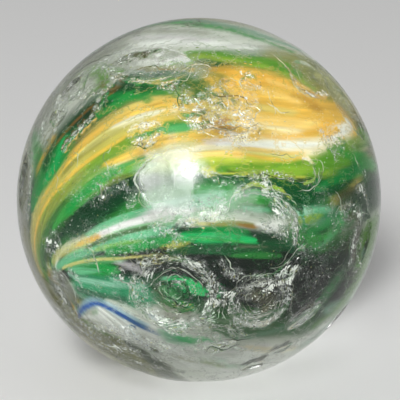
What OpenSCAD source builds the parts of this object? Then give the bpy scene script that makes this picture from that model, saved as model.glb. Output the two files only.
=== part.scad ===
// Old handmade glass marble: one solid ball of glass, drawn from a coloured cane and rounded in the
// shears, with a pontil where it was broken from the cane and another at its far end.
// Years of knocks have left flakes, ringed shell scars, moons and rough chips in its skin.
//
// The frame's origin is the ball's centre and +Z is up. The worn face looks along -Y and is tipped up
// by face_lift. A mark's place on it is [east, north] or [east, north, turn], in degrees from the
// middle of that face: east is to the right, north is up, and turn swings the mark's long side
// anticlockwise from east. Each hollow is measured below the flat cut that joins the mark's two ends,
// so a mark keeps its own size on a larger or smaller ball.

/* [Ball] */
// Diameter over the unbroken skin
ball_d = 25; // [18:0.5:40]
// How far the worn face is tipped up from level
face_lift = 20; // [0:1:45]

/* [Pontils] */
// Place of the pontil where the ball was broken from the cane
pontil_at = [-59, -29]; // [-90:1:90]
// Width of that pontil's flat
pontil_d = 3.8; // [2:0.1:6]
// Hollow of the flat, left where the glass tore
pontil_hollow = 0.08; // [0.02:0.01:0.3]
// Width of the fire-polished flat at the cane's other end
far_pontil_d = 2.6; // [1:0.1:5]
// Hollow of the far flat
far_pontil_hollow = 0.03; // [0.02:0.01:0.3]

/* [Flakes] */
// Crown flake, place and turn
crown_at = [-22, 46, -4]; // [-180:1:180]
// Crown flake, length, width and hollow
crown_size = [6.2, 3.4, 0.14]; // [0.02:0.01:9]
// Brow flake at the upper right, place and turn
brow_at = [53, 41, 26]; // [-180:1:180]
// Brow flake, length, width and hollow
brow_size = [4.2, 3.3, 0.16]; // [0.02:0.01:9]
// Shoulder flake on the right-hand edge, place and turn
shoulder_at = [68, 31, 103]; // [-180:1:180]
// Shoulder flake, length, width and hollow
shoulder_size = [5, 3, 0.1]; // [0.02:0.01:9]
// Temple flake on the left-hand edge, place and turn
temple_at = [-72, 6, 90]; // [-180:1:180]
// Temple flake, length, width and hollow
temple_size = [4.6, 2.9, 0.12]; // [0.02:0.01:9]
// Flank flake on the right, place and turn
flank_at = [64, -13, 92]; // [-180:1:180]
// Flank flake, length, width and hollow
flank_size = [4.1, 2.8, 0.14]; // [0.02:0.01:9]
// Leaf flake at the lower right, place and turn
leaf_at = [46, -38, 52]; // [-180:1:180]
// Leaf flake, length, width and hollow
leaf_size = [3.1, 1.7, 0.12]; // [0.02:0.01:9]
// Middle flake, smooth and very shallow, place and turn
middle_at = [-13, 6, 90]; // [-180:1:180]
// Middle flake, length, width and hollow
middle_size = [3.2, 2.4, 0.05]; // [0.02:0.01:9]
// Sliver flake left of the middle, place and turn
sliver_at = [-31, 2, 110]; // [-180:1:180]
// Sliver flake, length, width and hollow
sliver_size = [1.3, 0.6, 0.08]; // [0.02:0.01:9]

/* [Dish] */
// Dish on the upper left edge, place
cheek_at = [-58, 37]; // [-90:1:90]
// Dish on the upper left edge, width and hollow
cheek_size = [2.4, 0.14]; // [0.02:0.01:9]

/* [Ringed shell scars] */
// Great shell, place
great_at = [-8, -30]; // [-90:1:90]
// Great shell, width over its rim
great_rim_d = 5.5; // [3:0.1:8]
// Great shell, width of the struck ring in its middle
great_ring_d = 1.6; // [0.6:0.1:2.4]
// Great shell, hollow at the struck ring
great_hollow = 0.32; // [0.1:0.02:0.6]
// Lesser shell, place
lesser_at = [23, -33]; // [-90:1:90]
// Lesser shell, width over its rim
lesser_rim_d = 4.4; // [3:0.1:8]
// Lesser shell, width of the struck ring
lesser_ring_d = 1.2; // [0.6:0.1:2.4]
// Lesser shell, hollow at the struck ring
lesser_hollow = 0.3; // [0.1:0.02:0.6]
// Foot shell, place
foot_at = [8, -48]; // [-90:1:90]
// Foot shell, width over its rim
foot_rim_d = 2.7; // [2:0.1:5]
// Foot shell, width of the struck ring
foot_ring_d = 0.6; // [0.4:0.1:1.6]
// Foot shell, hollow at the struck ring
foot_hollow = 0.18; // [0.08:0.02:0.4]
// Drop from the top of a struck ring to the shell's floor
ring_step = 0.16; // [0.05:0.01:0.3]
// Ripples between the struck ring and the rim
ripples = 4; // [1:1:6]

/* [Moons] */
// Great moon, place, and the turn at which its open arc starts
moon_at = [19, -11, -62]; // [-180:1:180]
// Great moon, width across the arc
moon_d = 6.1; // [3:0.1:8]
// Great moon, how far round the arc runs
moon_sweep = 172; // [30:1:330]
// Great moon, width and depth of the crushed groove
moon_groove = [0.7, 0.2]; // [0.05:0.01:1.5]
// Little moon, place, and the turn at which its arc starts
crescent_at = [35, 8, -100]; // [-180:1:180]
// Little moon, width across the arc
crescent_d = 1.8; // [0.8:0.1:4]
// Little moon, how far round the arc runs
crescent_sweep = 200; // [30:1:330]
// Little moon, width and depth of the groove
crescent_groove = [0.28, 0.08]; // [0.05:0.01:1.5]

/* [Hidden] */
glass_green = [0.16, 0.46, 0.25];
$fn = 96;
ball_r = ball_d / 2;
// How far a cutter stands out past the skin
clear = 1;
// How far a neighbouring bite of a rough chip sits from its middle, and its share of the width
bite_step = 0.42;
bite_share = 0.72;
// Width of one bite of the crushed track and the share of it between neighbours
track_bite = 0.62;
track_hollow = 0.09;

// Round bites that make up the crushed patch above the middle: east, north, width, hollow
crushed_patch = [
    [-4, 29, 1.5, 0.12],
    [1, 31, 1.9, 0.16],
    [6, 34, 1.6, 0.13],
    [11, 36, 1.7, 0.14],
    [20, 38, 1.4, 0.16],
    [16, 31, 2.0, 0.15],
    [9, 28, 2.1, 0.18],
    [4, 24, 1.5, 0.12],
    [13, 23, 1.7, 0.16],
    [0, 23, 1.1, 0.1],
];
// Rough chips with three bites each: east, north, width, hollow
rough_chips = [
    [-17, 20, 1.7, 0.14],
    [-58, 26, 1.3, 0.12],
    [-54, -14, 1.5, 0.14],
    [-28, -24, 0.9, 0.12],
    [50, 18, 1.7, 0.14],
    [53, -4, 1.2, 0.12],
    [-3, -4, 1.4, 0.08],
    [-9, -8, 1.1, 0.08],
    [4, -2, 1.2, 0.08],
    [-40, -48, 1.3, 0.12],
    [-31, -44, 0.9, 0.12],
    [-22, -52, 1.0, 0.1],
];
// Crescents flaked off the lower right edge: east, north, turn, length, width, hollow
edge_crescents = [
    [79, -40, 83, 2.6, 1.2, 0.08],
    [42, -64, 50, 2.0, 1.2, 0.1],
    [48, -53, 45, 1.9, 1.2, 0.06],
];
// Flats worn on the outline: east, north, width, hollow
worn_flats = [
    [-90, -70, 3.8, 0.02],
    [90, 63, 3.2, 0.02],
    [0, -90, 3.2, 0.02],
];
// Corners of the crushed track on the upper left: east, north
track = [[-37, 38], [-38, 32], [-39, 26], [-43, 22], [-47, 18], [-49, 14]];

// Height of the skin's bulge over a flat cut w wide
function bulge(w) = ball_r - sqrt(ball_r * ball_r - w * w / 4);

// Radius of the circle that dips by s across a chord w
function dip_radius(w, s) = (w * w / 4 + s * s) / (2 * s);

// Height, above the ball's centre, of a floor that dips by s below a flat cut w wide
function floor_height(w, s) = ball_r - bulge(w) - s;

// A place part of the way, t, from place a to place b
function between(a, b, t) = a + (b - a) * t;

// Puts +Z on the skin's outward normal at a place of the worn face, +X to its east, then turns
module on_face(at) {
    rotate([-face_lift, 0, 0])
        rotate([-at[1], 0, at[0]])
            rotate([90, 0, 0])
                rotate([0, 0, len(at) > 2 ? at[2] : 0])
                    children();
}

// A long shallow scallop: the outside of a ring, so it curves less along its length than across it
module scallop(at, size) {
    low = floor_height(size[0], size[2]);
    along = dip_radius(size[0], size[2]);
    across = dip_radius(size[1], ball_r - bulge(size[1]) - low);
    on_face(at)
        translate([0, 0, low + along])
            rotate([90, 0, 0])
                rotate_extrude()
                    translate([along - across, 0])
                        circle(r = across);
}

// A round dish: the underside of a sphere
module round_dish(at, size) {
    dip = dip_radius(size[0], size[1]);
    on_face(at)
        translate([0, 0, floor_height(size[0], size[1]) + dip])
            sphere(r = dip);
}

// Three overlapping bites round one place, the largest first
module rough_chip(chip) {
    spread = chip[2] * bite_step / ball_r * 180 / PI;
    round_dish([chip[0], chip[1]], [chip[2], chip[3]]);
    for (k = [0 : 1])
        round_dish(
            [chip[0] + spread * cos(140 * k + 35), chip[1] + spread * sin(140 * k + 35)],
            [chip[2] * bite_share, chip[3] * bite_share]
        );
}

// The floor of a ringed shell: r is the distance from the struck ring's middle. Each ripple climbs
// towards the rim in a gentle rise and drops back in a short steep one.
function shell_height(r, ring_d, rim_d, hollow) =
    let (t = (2 * r - ring_d) / (rim_d - ring_d))
    floor_height(rim_d, hollow) + hollow * t * t;

// A ringed shell: the struck ring stands as a low stump, and the floor ripples out from it to the rim
module ringed_shell(at, rim_d, ring_d, hollow) {
    run = (rim_d - ring_d) / 2 / ripples;
    drop = hollow / ripples / 4;
    start = ring_d / 2;
    stump = shell_height(start, ring_d, rim_d, hollow) + ring_step;
    waves = [
        for (k = [0 : ripples - 1], s = [0, 0.78])
            let (r = start + (k + s) * run)
            [r, shell_height(r, ring_d, rim_d, hollow) + (s == 0 ? -drop : drop)]
    ];
    rim = [rim_d / 2, ball_r - bulge(rim_d)];
    on_face(at)
        rotate_extrude()
            polygon(concat(
                [[0, stump + drop], [start * 0.8, stump]],
                waves,
                [rim, [rim_d / 2 + clear, ball_r + clear], [0, ball_r + clear]]
            ));
}

// A moon: an open arc crushed into the skin, with a round-bottomed groove
module arc_groove(at, d, sweep, groove) {
    dip = dip_radius(groove[0], groove[1]);
    reach = asin(d / 2 / ball_r);
    on_face(at)
        rotate_extrude(angle = sweep)
            rotate([0, 0, -reach])
                translate([0, ball_r - groove[1] + dip])
                    circle(r = dip);
}

// The crushed track: small bites that run along its corners
module crushed_track() {
    for (k = [0 : len(track) - 2], t = [0, 0.5])
        round_dish(between(track[k], track[k + 1], t), [track_bite, track_hollow]);
}

// The two ends of the cane
module pontils() {
    round_dish(pontil_at, [pontil_d, pontil_hollow]);
    round_dish([pontil_at[0] + 180, -pontil_at[1]], [far_pontil_d, far_pontil_hollow]);
}

module marble() {
    color(glass_green)
        difference() {
            sphere(d = ball_d);
            pontils();
            scallop(crown_at, crown_size);
            scallop(brow_at, brow_size);
            scallop(shoulder_at, shoulder_size);
            scallop(temple_at, temple_size);
            scallop(flank_at, flank_size);
            scallop(leaf_at, leaf_size);
            scallop(middle_at, middle_size);
            scallop(sliver_at, sliver_size);
            round_dish(cheek_at, cheek_size);
            ringed_shell(great_at, great_rim_d, great_ring_d, great_hollow);
            ringed_shell(lesser_at, lesser_rim_d, lesser_ring_d, lesser_hollow);
            ringed_shell(foot_at, foot_rim_d, foot_ring_d, foot_hollow);
            arc_groove(moon_at, moon_d, moon_sweep, moon_groove);
            arc_groove(crescent_at, crescent_d, crescent_sweep, crescent_groove);
            for (c = edge_crescents)
                scallop([c[0], c[1], c[2]], [c[3], c[4], c[5]]);
            for (f = worn_flats)
                round_dish([f[0], f[1]], [f[2], f[3]]);
            for (c = crushed_patch)
                round_dish([c[0], c[1]], [c[2], c[3]]);
            for (c = rough_chips)
                rough_chip(c);
            crushed_track();
        }
}

marble();
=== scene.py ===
"""Old handmade glass marble: clear worn glass over a cane of coloured strands, with scars in its skin.

Lengths are in millimetres until a mesh is made, and meshes are in metres. A place on the skin is
(east, north) in degrees from the middle of the worn face, or (east, north, turn). A place on the cane
is (round, along) in degrees: round the cane, and along it from the pontil.
"""

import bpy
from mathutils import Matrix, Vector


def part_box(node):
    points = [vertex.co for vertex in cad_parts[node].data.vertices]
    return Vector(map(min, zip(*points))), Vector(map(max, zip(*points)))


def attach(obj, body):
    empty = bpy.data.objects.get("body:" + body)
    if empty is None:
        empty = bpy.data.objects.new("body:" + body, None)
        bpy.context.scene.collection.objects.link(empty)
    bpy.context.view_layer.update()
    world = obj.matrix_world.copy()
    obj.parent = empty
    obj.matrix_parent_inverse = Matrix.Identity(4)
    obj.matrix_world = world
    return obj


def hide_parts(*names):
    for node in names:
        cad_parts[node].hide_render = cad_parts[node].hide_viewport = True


bl_info = {
    "name": "Worn Glass Marble",
    "version": (1, 0, 0),
    "blender": (4, 5, 0),
    "location": "3D View > Sidebar > Marble",
    "description": "Builds an old cane marble with its strands, flakes, shell scars and frost",
    "category": "Add Mesh",
}

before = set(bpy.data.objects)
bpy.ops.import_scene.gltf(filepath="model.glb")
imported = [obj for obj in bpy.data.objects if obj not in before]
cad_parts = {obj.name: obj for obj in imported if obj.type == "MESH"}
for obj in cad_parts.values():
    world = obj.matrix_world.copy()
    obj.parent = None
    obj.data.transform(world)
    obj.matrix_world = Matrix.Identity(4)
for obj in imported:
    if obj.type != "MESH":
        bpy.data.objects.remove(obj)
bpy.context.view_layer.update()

import math

import bmesh
import bpy
import numpy as np
from bpy.props import FloatProperty, FloatVectorProperty, IntProperty, PointerProperty
from mathutils import Matrix, Vector

MM = 0.001
BALL_R = (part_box("marble")[1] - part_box("marble")[0]).z / 2 / MM
FACE_LIFT = 20
MAX_TRIANGLES = 200_000
# A nearest distance before any is found: larger than every one that is kept
FAR_OFF = 9.0
# How far the crushed glass lies under the skin, the least glass over the cane, and how far inside the
# ball's full radius every splinter ends
FROST_DEPTH = 0.03
CANE_COVER = 0.12
SPLINTER_MARGIN = 0.01
# The camera's lens in millimetres, its sideways shift as a share of the picture's width, and the
# nearest distance that it sees, in metres
LENS = 327.6
LENS_SHIFT = 0.00275
NEAREST_SEEN = 0.01
# The floor's radius, and how far the lamp's discs stand off and apart, in metres
FLOOR_RADIUS = 1.5
LAMP_DISTANCE = 0.4
LAMP_STEP = 0.002
# The way to the lamp: to the right, up and toward the camera
LAMP_WAY = (-0.128, 0.313, 0.940)
# The lamp's discs: share of its width and share of its power
LAMP_DISCS = ((0.36, 0.4), (0.62, 0.3), (1, 0.3))


# ---------------------------------------------------------------------------------------------
# Colours, as red, green and blue from 0 to 255
# ---------------------------------------------------------------------------------------------
TONES = {
    "amber": (220, 176, 74),
    "gold": (222, 184, 74),
    "orange": (222, 166, 60),
    "peach": (238, 204, 118),
    "brown": (150, 104, 38),
    "rust": (168, 92, 30),
    "tan": (180, 180, 108),
    "straw": (194, 188, 112),
    "honey": (206, 174, 88),
    "band": (186, 176, 84),
    "cream": (228, 220, 182),
    "white": (232, 236, 228),
    "milk": (216, 222, 208),
    "pale": (198, 204, 190),
    "grey": (160, 166, 152),
    "lavender": (206, 202, 204),
    "ash": (118, 122, 98),
    "olive": (136, 138, 62),
    "moss": (48, 70, 28),
    "fern": (84, 142, 36),
    "lime": (132, 170, 48),
    "lemon": (198, 196, 76),
    "grass": (36, 100, 38),
    "leaf": (44, 142, 54),
    "bright": (14, 138, 58),
    "vivid": (14, 186, 96),
    "spring": (84, 166, 98),
    "mint": (104, 184, 136),
    "frosted_mint": (144, 198, 170),
    "teal": (40, 138, 92),
    "sea": (116, 156, 130),
    "cap": (94, 102, 76),
    "deep": (6, 76, 34),
    "bottle": (4, 50, 24),
    "ink": (4, 20, 10),
    "blue": (34, 94, 174),
    "steel": (60, 110, 158),
    "sky": (146, 182, 196),
}

# Colour round the cane, half-way along it: where each comes, in degrees round, and its tone
ROUND_THE_CANE = [
    (-80, "grey"), (-62, "pale"), (-40, "olive"), (-22, "grey"), (-6, "pale"), (8, "deep"),
    (18, "grass"), (24, "straw"), (34, "amber"), (52, "gold"), (62, "cream"), (68, "lemon"),
    (75, "lime"), (80, "deep"), (88, "leaf"), (96, "grass"), (102, "milk"), (108, "bottle"),
    (118, "ink"), (148, "ink"), (158, "grass"), (166, "pale"), (186, "grey"), (200, "moss"),
    (216, "olive"), (232, "moss"), (246, "fern"), (256, "amber"), (266, "deep"), (280, "grey"),
]

# Strands, broad ones first: tone, strength, softness of the edge, then (round, along, half width)
STRANDS = [
    # broad fields
    ("grey", 0.9, 0.8, [(-55, 60, 14), (-45, 85, 16), (-30, 100, 14)]),
    ("ash", 0.8, 0.8, [(-60, 35, 12), (-56, 56, 13), (-52, 76, 10)]),
    ("olive", 0.5, 0.9, [(-52, 58, 3), (-49, 68, 4), (-47, 78, 4), (-42, 90, 3)]),
    ("moss", 0.5, 0.9, [(-60, 64, 2), (-58, 76, 3), (-54, 88, 3), (-46, 100, 2)]),
    ("grey", 0.8, 0.8, [(-40, 105, 10), (-24, 106, 9)]),
    ("pale", 0.8, 0.8, [(-14, 108, 8), (8, 124, 9), (20, 138, 6)]),
    ("olive", 0.8, 0.8, [(34, 134, 6), (44, 142, 6), (54, 148, 5)]),
    ("white", 1.0, 0.7, [(140, 20, 8), (150, 32, 9), (165, 50, 11), (180, 70, 13), (190, 92, 14)]),
    ("olive", 0.9, 0.8, [(190, 18, 8), (205, 30, 10), (218, 45, 10), (228, 60, 10)]),
    ("milk", 0.8, 0.7, [(186, 60, 4), (194, 76, 6), (200, 92, 7)]),
    ("ink", 1.0, 0.6, [(104, 50, 4), (112, 66, 8), (122, 82, 12), (134, 98, 14), (145, 115, 12)]),
    ("bottle", 1.0, 0.5, [(8, 14, 3), (22, 21, 4), (36, 27, 6), (42, 36, 6), (48, 46, 5),
                          (54, 54, 3)]),
    ("deep", 1.0, 0.7, [(-32, 32, 4), (-20, 40, 7), (-8, 50, 7), (0, 64, 7), (8, 77, 7), (16, 88, 6)]),
    ("spring", 0.7, 0.6, [(66, 46, 3), (72, 56, 6), (77, 66, 6), (82, 74, 4)]),
    ("teal", 1.0, 0.6, [(92, 11, 4), (102, 18, 6), (108, 26, 6), (112, 33, 4)]),
    ("honey", 1.0, 0.7, [(36, 86, 4), (42, 94, 6), (48, 100, 9), (56, 101, 8)]),
    ("amber", 1.0, 0.5, [(32, 106, 5), (40, 114, 9), (52, 121, 11), (64, 127, 9), (72, 134, 7)]),
    ("grass", 0.9, 0.7, [(2, 84, 3), (12, 88, 4), (22, 92, 4.4), (30, 96, 4.4), (38, 99, 3), (45, 101, 1.4)]),
    ("olive", 0.9, 0.8, [(-2, 94, 2), (8, 98, 3.4), (16, 101, 4), (24, 105, 3.6), (32, 108, 2.4)]),
    ("ash", 0.7, 0.8, [(-6, 90, 2), (4, 94, 2.4), (13, 98, 2), (21, 101, 1.4)]),
    ("deep", 1.0, 0.6, [(92, 95, 5), (98, 108, 7), (104, 120, 8), (106, 136, 8)]),
    ("teal", 0.8, 0.6, [(112, 95, 4), (115, 106, 5), (118, 118, 4)]),
    ("moss", 0.8, 0.7, [(124, 126, 8), (140, 126, 9), (156, 128, 8)]),
    ("sea", 0.9, 0.8, [(160, 108, 3), (166, 115, 5), (172, 124, 5.5)]),
    ("ash", 0.9, 0.7, [(50, 146, 4), (64, 149, 6), (80, 152, 6), (94, 153, 5)]),
    ("tan", 0.5, 0.8, [(50, 148, 3), (64, 149, 4), (78, 150, 3)]),
    ("olive", 0.6, 0.7, [(44, 135, 1.6), (49, 138, 2.6), (55, 141, 2.4)]),
    ("lime", 0.35, 0.7, [(47, 137, 1.4), (54, 141, 1.4)]),
    ("moss", 0.9, 0.7, [(96, 150, 4), (108, 148, 5), (120, 145, 6)]),
    ("olive", 0.7, 0.8, [(-60, 28, 5), (-62, 18, 5), (-91, 11, 4), (-142, 14, 6), (-162, 26, 7)]),
    # the left side, under the amber and above the pontil
    ("fern", 0.9, 0.6, [(-64, 9, 2.4), (-40, 11, 3.4), (-17, 16, 4.4), (1, 22, 5.4), (14, 31, 6),
                        (22, 41, 6), (28, 53, 4.6), (32, 66, 2.6)]),
    ("olive", 0.6, 0.7, [(-24, 17, 1.8), (-6, 22, 2.2), (8, 30, 2.4), (17, 39, 2)]),
    ("lime", 0.35, 0.8, [(-10, 24, 1.2), (4, 31, 1.4), (14, 39, 1.4), (20, 46, 1)]),
    ("grass", 0.9, 0.6, [(-38, 9, 2), (-20, 12, 3), (-4, 16, 3), (12, 23, 3), (22, 30, 2.4)]),
    ("bottle", 0.7, 0.6, [(-12, 10, 2), (6, 16, 2.2), (18, 24, 2)]),
    ("leaf", 0.9, 0.7, [(10, 20, 1), (20, 26, 1.8), (28, 33, 2.2), (34, 40, 1.8), (38, 48, 1.2)]),
    ("band", 1.0, 0.45, [(-66, 12, 1.6), (-48, 17.5, 1.9), (-31, 22, 2.2), (-17, 27, 2.6),
                         (-5, 32, 3), (5, 37, 3.4), (12, 44, 3.8), (16, 51, 4.2), (20, 58, 4.6),
                         (24, 67, 4.4), (30, 76, 4.2), (38, 85, 4), (45, 94, 4)]),
    ("honey", 0.7, 0.6, [(26, 72, 3), (32, 79, 3.8), (39, 86, 4), (46, 94, 4)]),
    ("olive", 0.8, 0.7, [(4, 38, 1.4), (10, 45, 2.2), (15, 52, 3), (18, 58, 3), (21, 64, 2)]),
    ("straw", 0.8, 0.7, [(8, 46, 1.4), (14, 53, 2.8), (18, 60, 3.6), (24, 69, 3.2), (31, 78, 2.2)]),
    ("cream", 0.7, 1.0, [(17, 60, 0.8), (21, 66, 2.2), (26, 73, 2.8), (32, 79, 2), (38, 85, 1)]),
    ("pale", 0.6, 0.8, [(17, 61, 0.8), (21, 67, 1.4), (26, 73, 1.4), (30, 78, 0.8)]),
    ("gold", 0.9, 0.5, [(-14, 29, 0.7), (-4, 34, 0.8), (4, 42, 0.8), (10, 51, 0.8), (14, 59, 0.9),
                        (18, 66, 1), (23, 74, 1.3), (30, 81, 1.5), (38, 88, 1.2)]),
    ("gold", 0.9, 0.5, [(-48, 15.6, 0.5), (-24, 21, 0.7), (-4, 28, 0.8), (8, 35, 0.8), (19, 46, 0.9),
                        (25, 55, 1), (28, 63, 0.9), (30, 71, 1), (32, 79, 1)]),
    ("straw", 0.7, 0.5, [(-58, 17, 0.9), (-36, 23, 1), (-18, 29, 1.1), (-6, 36, 1.1), (1, 44, 1)]),
    ("leaf", 0.9, 0.6, [(-45, 70, 0.2), (-43, 65, 0.9), (-40, 60, 2), (-36, 54, 3), (-28, 45, 3.6),
                        (-22, 37, 3.4), (-26, 30, 2)]),
    ("bright", 1.0, 0.6, [(-28, 30, 2), (-16, 35, 3.6), (-8, 41, 4.6), (-7, 48, 5), (-5, 55, 3.6)]),
    ("vivid", 0.6, 0.7, [(-12, 36, 1.4), (-7, 42, 1.8), (-8, 48, 1.8), (-8, 54, 1.2)]),
    ("gold", 0.7, 0.6, [(-29, 44, 0.8), (-24, 49, 1.2), (-22, 55, 1)]),
    ("bright", 0.8, 0.6, [(0, 72, 1.4), (7, 75, 2.2), (14, 77, 2.2), (20, 78, 1.4)]),
    ("bottle", 0.9, 0.6, [(-8, 56, 3), (-6, 62, 3.6), (-2, 69, 2.6)]),
    ("leaf", 0.8, 0.6, [(3, 62, 1.6), (8, 70, 2.4), (12, 77, 3), (17, 83, 3), (24, 87, 2.4), (31, 89, 1.4)]),
    ("bright", 0.7, 0.7, [(6, 70, 0.8), (11, 76, 1.4), (17, 81, 1.4), (23, 84, 0.8)]),
    ("bottle", 0.6, 0.7, [(13, 82, 2.6), (17, 89, 3)]),
    ("brown", 0.9, 0.5, [(-15, 49, 0.7), (-11, 55, 1.1), (-7, 62, 1.1), (-4, 69, 1), (0, 76, 0.7)]),
    ("gold", 0.7, 0.6, [(-27, 42, 1), (-24, 48, 1.6), (-21, 54, 1.3)]),
    ("fern", 0.9, 0.6, [(-14, 74, 1.4), (-12, 79, 2.6), (-16, 84, 3), (-22, 86, 2.2), (-27, 85, 1.1),
                        (-32, 82, 0.2)]),
    ("brown", 0.6, 0.7, [(-12, 80, 1), (-6, 78, 1.6), (0, 78, 1.2)]),
    ("bright", 0.9, 0.5, [(22, 27, 1.6), (27, 34, 2.2), (32, 42, 2.2), (37, 50, 1.8), (41, 57, 1.4)]),
    ("gold", 0.9, 0.45, [(28, 46, 0.8), (33, 51, 1.5), (37, 57, 1.9), (40, 62, 2.1), (44, 70, 2.4),
                         (49, 77, 2.6), (54, 83, 2.8), (58, 92, 2.8), (63, 100, 2.6)]),
    ("tan", 0.7, 0.6, [(42, 60, 0.8), (47, 68, 1.3), (52, 76, 1.2)]),
    ("leaf", 0.8, 0.7, [(34, 43, 0.8), (40, 49, 1.6), (44, 54, 1.8), (48, 60, 1.2)]),
    ("bright", 0.95, 0.5, [(30, 61, 1), (34, 67, 2.2), (39, 74, 3), (44, 80, 3), (49, 86, 1.8)]),
    ("spring", 0.8, 0.6, [(36, 69, 1), (41, 75, 2), (45, 81, 2.2), (48, 86, 1.4)]),
    ("deep", 0.7, 0.7, [(43, 83, 1), (46, 87, 1.6), (50, 90, 1)]),
    ("brown", 0.8, 0.7, [(49, 84, 1.6), (53, 89, 2.4), (56, 94, 1.8)]),
    ("straw", 0.7, 0.7, [(38, 88, 1.6), (44, 94, 2.6), (52, 98, 2.4)]),
    # the band of white and yellow across the middle
    ("tan", 0.8, 0.6, [(50, 62, 1.4), (54, 70, 2), (58, 77, 2.2), (61, 83, 1.6)]),
    ("peach", 0.9, 0.5, [(54, 68, 1.2), (58, 75, 1.6), (62, 82, 2), (67, 89, 2)]),
    ("lemon", 0.8, 0.5, [(64, 72, 1.2), (69, 80, 1.6), (74, 88, 1.6), (80, 96, 1.4)]),
    ("fern", 1.0, 0.45, [(68, 78, 1.8), (74, 88, 2.4), (80, 97, 3), (86, 108, 3.6), (90, 120, 4),
                         (94, 132, 4)]),
    ("lime", 0.8, 0.6, [(70, 82, 0.9), (77, 93, 1.3), (84, 104, 1.8), (88, 114, 1.8)]),
    ("cream", 0.9, 0.45, [(50, 68, 1), (55, 77, 1.4), (60, 86, 1.7), (64, 93, 2), (70, 102, 2.5),
                          (76, 112, 2.8), (80, 119, 2.8), (83, 127, 2.4), (86, 138, 2.4)]),
    ("white", 0.8, 0.6, [(58, 84, 0.8), (63, 92, 1.2), (70, 103, 1.5), (77, 115, 1.4), (82, 124, 1)]),
    ("lavender", 0.6, 0.7, [(54, 80, 1), (58, 87, 1.5), (62, 94, 1.2)]),
    ("gold", 0.7, 0.5, [(64, 90, 0.8), (70, 98, 0.9), (76, 106, 1), (81, 115, 0.8)]),
    ("amber", 0.7, 0.5, [(65, 86, 0.6), (69, 92, 0.8), (74, 98, 0.9), (80, 106, 0.8), (82, 113, 0.6)]),
    ("cream", 0.7, 0.5, [(60, 103, 0.6), (64, 109, 1), (68, 116, 0.7)]),
    ("deep", 0.9, 0.6, [(78, 82, 2.2), (84, 92, 2.8), (90, 102, 2.8), (95, 112, 2)]),
    ("moss", 0.8, 0.5, [(70, 80, 0.6), (76, 88, 0.8), (84, 99, 0.9), (91, 109, 1), (94, 117, 0.9)]),
    ("lemon", 0.7, 0.5, [(67, 72, 0.5), (74, 85, 0.6), (82, 97, 0.6), (90, 110, 0.6)]),
    ("white", 0.8, 0.6, [(80, 128, 1.2), (82, 134, 1.8), (84, 141, 1.6)]),
    # mint and white strands that fan out from the pontil
    ("tan", 0.8, 0.8, [(10, 9, 1), (24, 12, 1.3), (36, 15, 1.6), (47, 19, 1.8), (54, 24, 1.5)]),
    ("amber", 0.7, 1.0, [(46, 19, 0.5), (52, 23, 1.1), (57, 27, 1.1), (61, 31, 0.6)]),
    ("rust", 0.25, 1.0, [(52, 23, 0.6), (56, 26, 0.8), (60, 30, 0.5)]),
    ("mint", 0.7, 0.6, [(49, 24, 0.8), (54, 30, 1.1), (59, 37, 1.4), (64, 45, 1.5), (67, 52, 1.3)]),
    ("lavender", 0.9, 0.7, [(57, 28, 0.9), (61, 33, 1.3), (65, 39, 1.7), (68, 46, 2), (71, 53, 2.2),
                            (76, 61, 2.2)]),
    ("white", 0.5, 0.8, [(60, 31, 0.6), (64, 37, 0.9), (68, 44, 1.1), (72, 52, 1.2), (77, 59, 1)]),
    ("mint", 0.8, 0.6, [(22, 7, 1), (40, 11, 1.4), (53, 17, 1.6), (63, 25, 1.7), (70, 34, 1.6),
                        (75, 42, 1.5), (79, 50, 1.2)]),
    ("spring", 0.7, 0.6, [(60, 27, 0.8), (66, 35, 1.2), (72, 44, 1.3), (77, 53, 1)]),
    ("frosted_mint", 0.8, 0.6, [(68, 54, 1.6), (73, 62, 2.6), (77, 70, 2.8), (81, 77, 1.8)]),
    ("moss", 0.8, 0.5, [(56, 21, 0.5), (61, 27, 0.8), (67, 35, 0.8), (73, 44, 0.7)]),
    ("leaf", 0.8, 0.6, [(79, 74, 2), (84, 82, 2.4), (89, 90, 2)]),
    ("mint", 0.7, 0.6, [(87, 78, 0.8), (91, 83, 1.2), (94, 88, 0.9)]),
    ("lime", 0.6, 0.5, [(62, 22, 0.6), (69, 29, 0.9), (76, 37, 0.9)]),
    ("bright", 0.9, 0.6, [(70, 26, 1.2), (78, 36, 1.8), (83, 46, 2), (86, 53, 1.8)]),
    ("lemon", 0.8, 0.7, [(85, 43, 0.6), (88, 47, 1.1), (89, 51, 0.6)]),
    ("vivid", 1.0, 0.7, [(85, 51, 1.8), (90, 58, 2.8), (94, 65, 3), (98, 71, 2.2), (103, 77, 1.4)]),
    ("leaf", 0.7, 0.7, [(87, 53, 0.6), (93, 61, 0.9), (98, 68, 0.8), (103, 75, 0.6)]),
    ("bright", 0.7, 0.7, [(84, 53, 0.6), (88, 61, 0.9), (93, 69, 0.9), (98, 76, 0.6)]),
    ("mint", 0.4, 0.8, [(88, 55, 0.5), (92, 62, 0.8), (96, 68, 0.6)]),
    ("deep", 0.9, 0.6, [(89, 45, 1.6), (97, 58, 1.6), (103, 69, 2.6), (108, 81, 3), (112, 92, 2.4)]),
    ("milk", 0.8, 0.5, [(79, 52, 0.8), (83, 58, 1.2), (87, 65, 1.4), (91, 73, 1.3), (95, 80, 0.9)]),
    ("lemon", 0.6, 0.6, [(81, 54, 0.5), (86, 62, 0.7), (90, 70, 0.7)]),
    ("olive", 0.9, 0.6, [(86, 61, 0.5), (90, 68, 0.9), (93, 74, 1.1), (97, 79, 1)]),
    ("brown", 0.8, 0.6, [(93, 73, 0.4), (96, 77, 0.7), (98, 80, 0.5)]),
    ("white", 1.0, 0.6, [(97, 81, 0.8), (100, 86, 2.2), (104, 92, 1.4)]),
    ("leaf", 0.6, 0.6, [(104, 66, 0.8), (109, 75, 1.2), (115, 86, 1)]),
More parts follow.
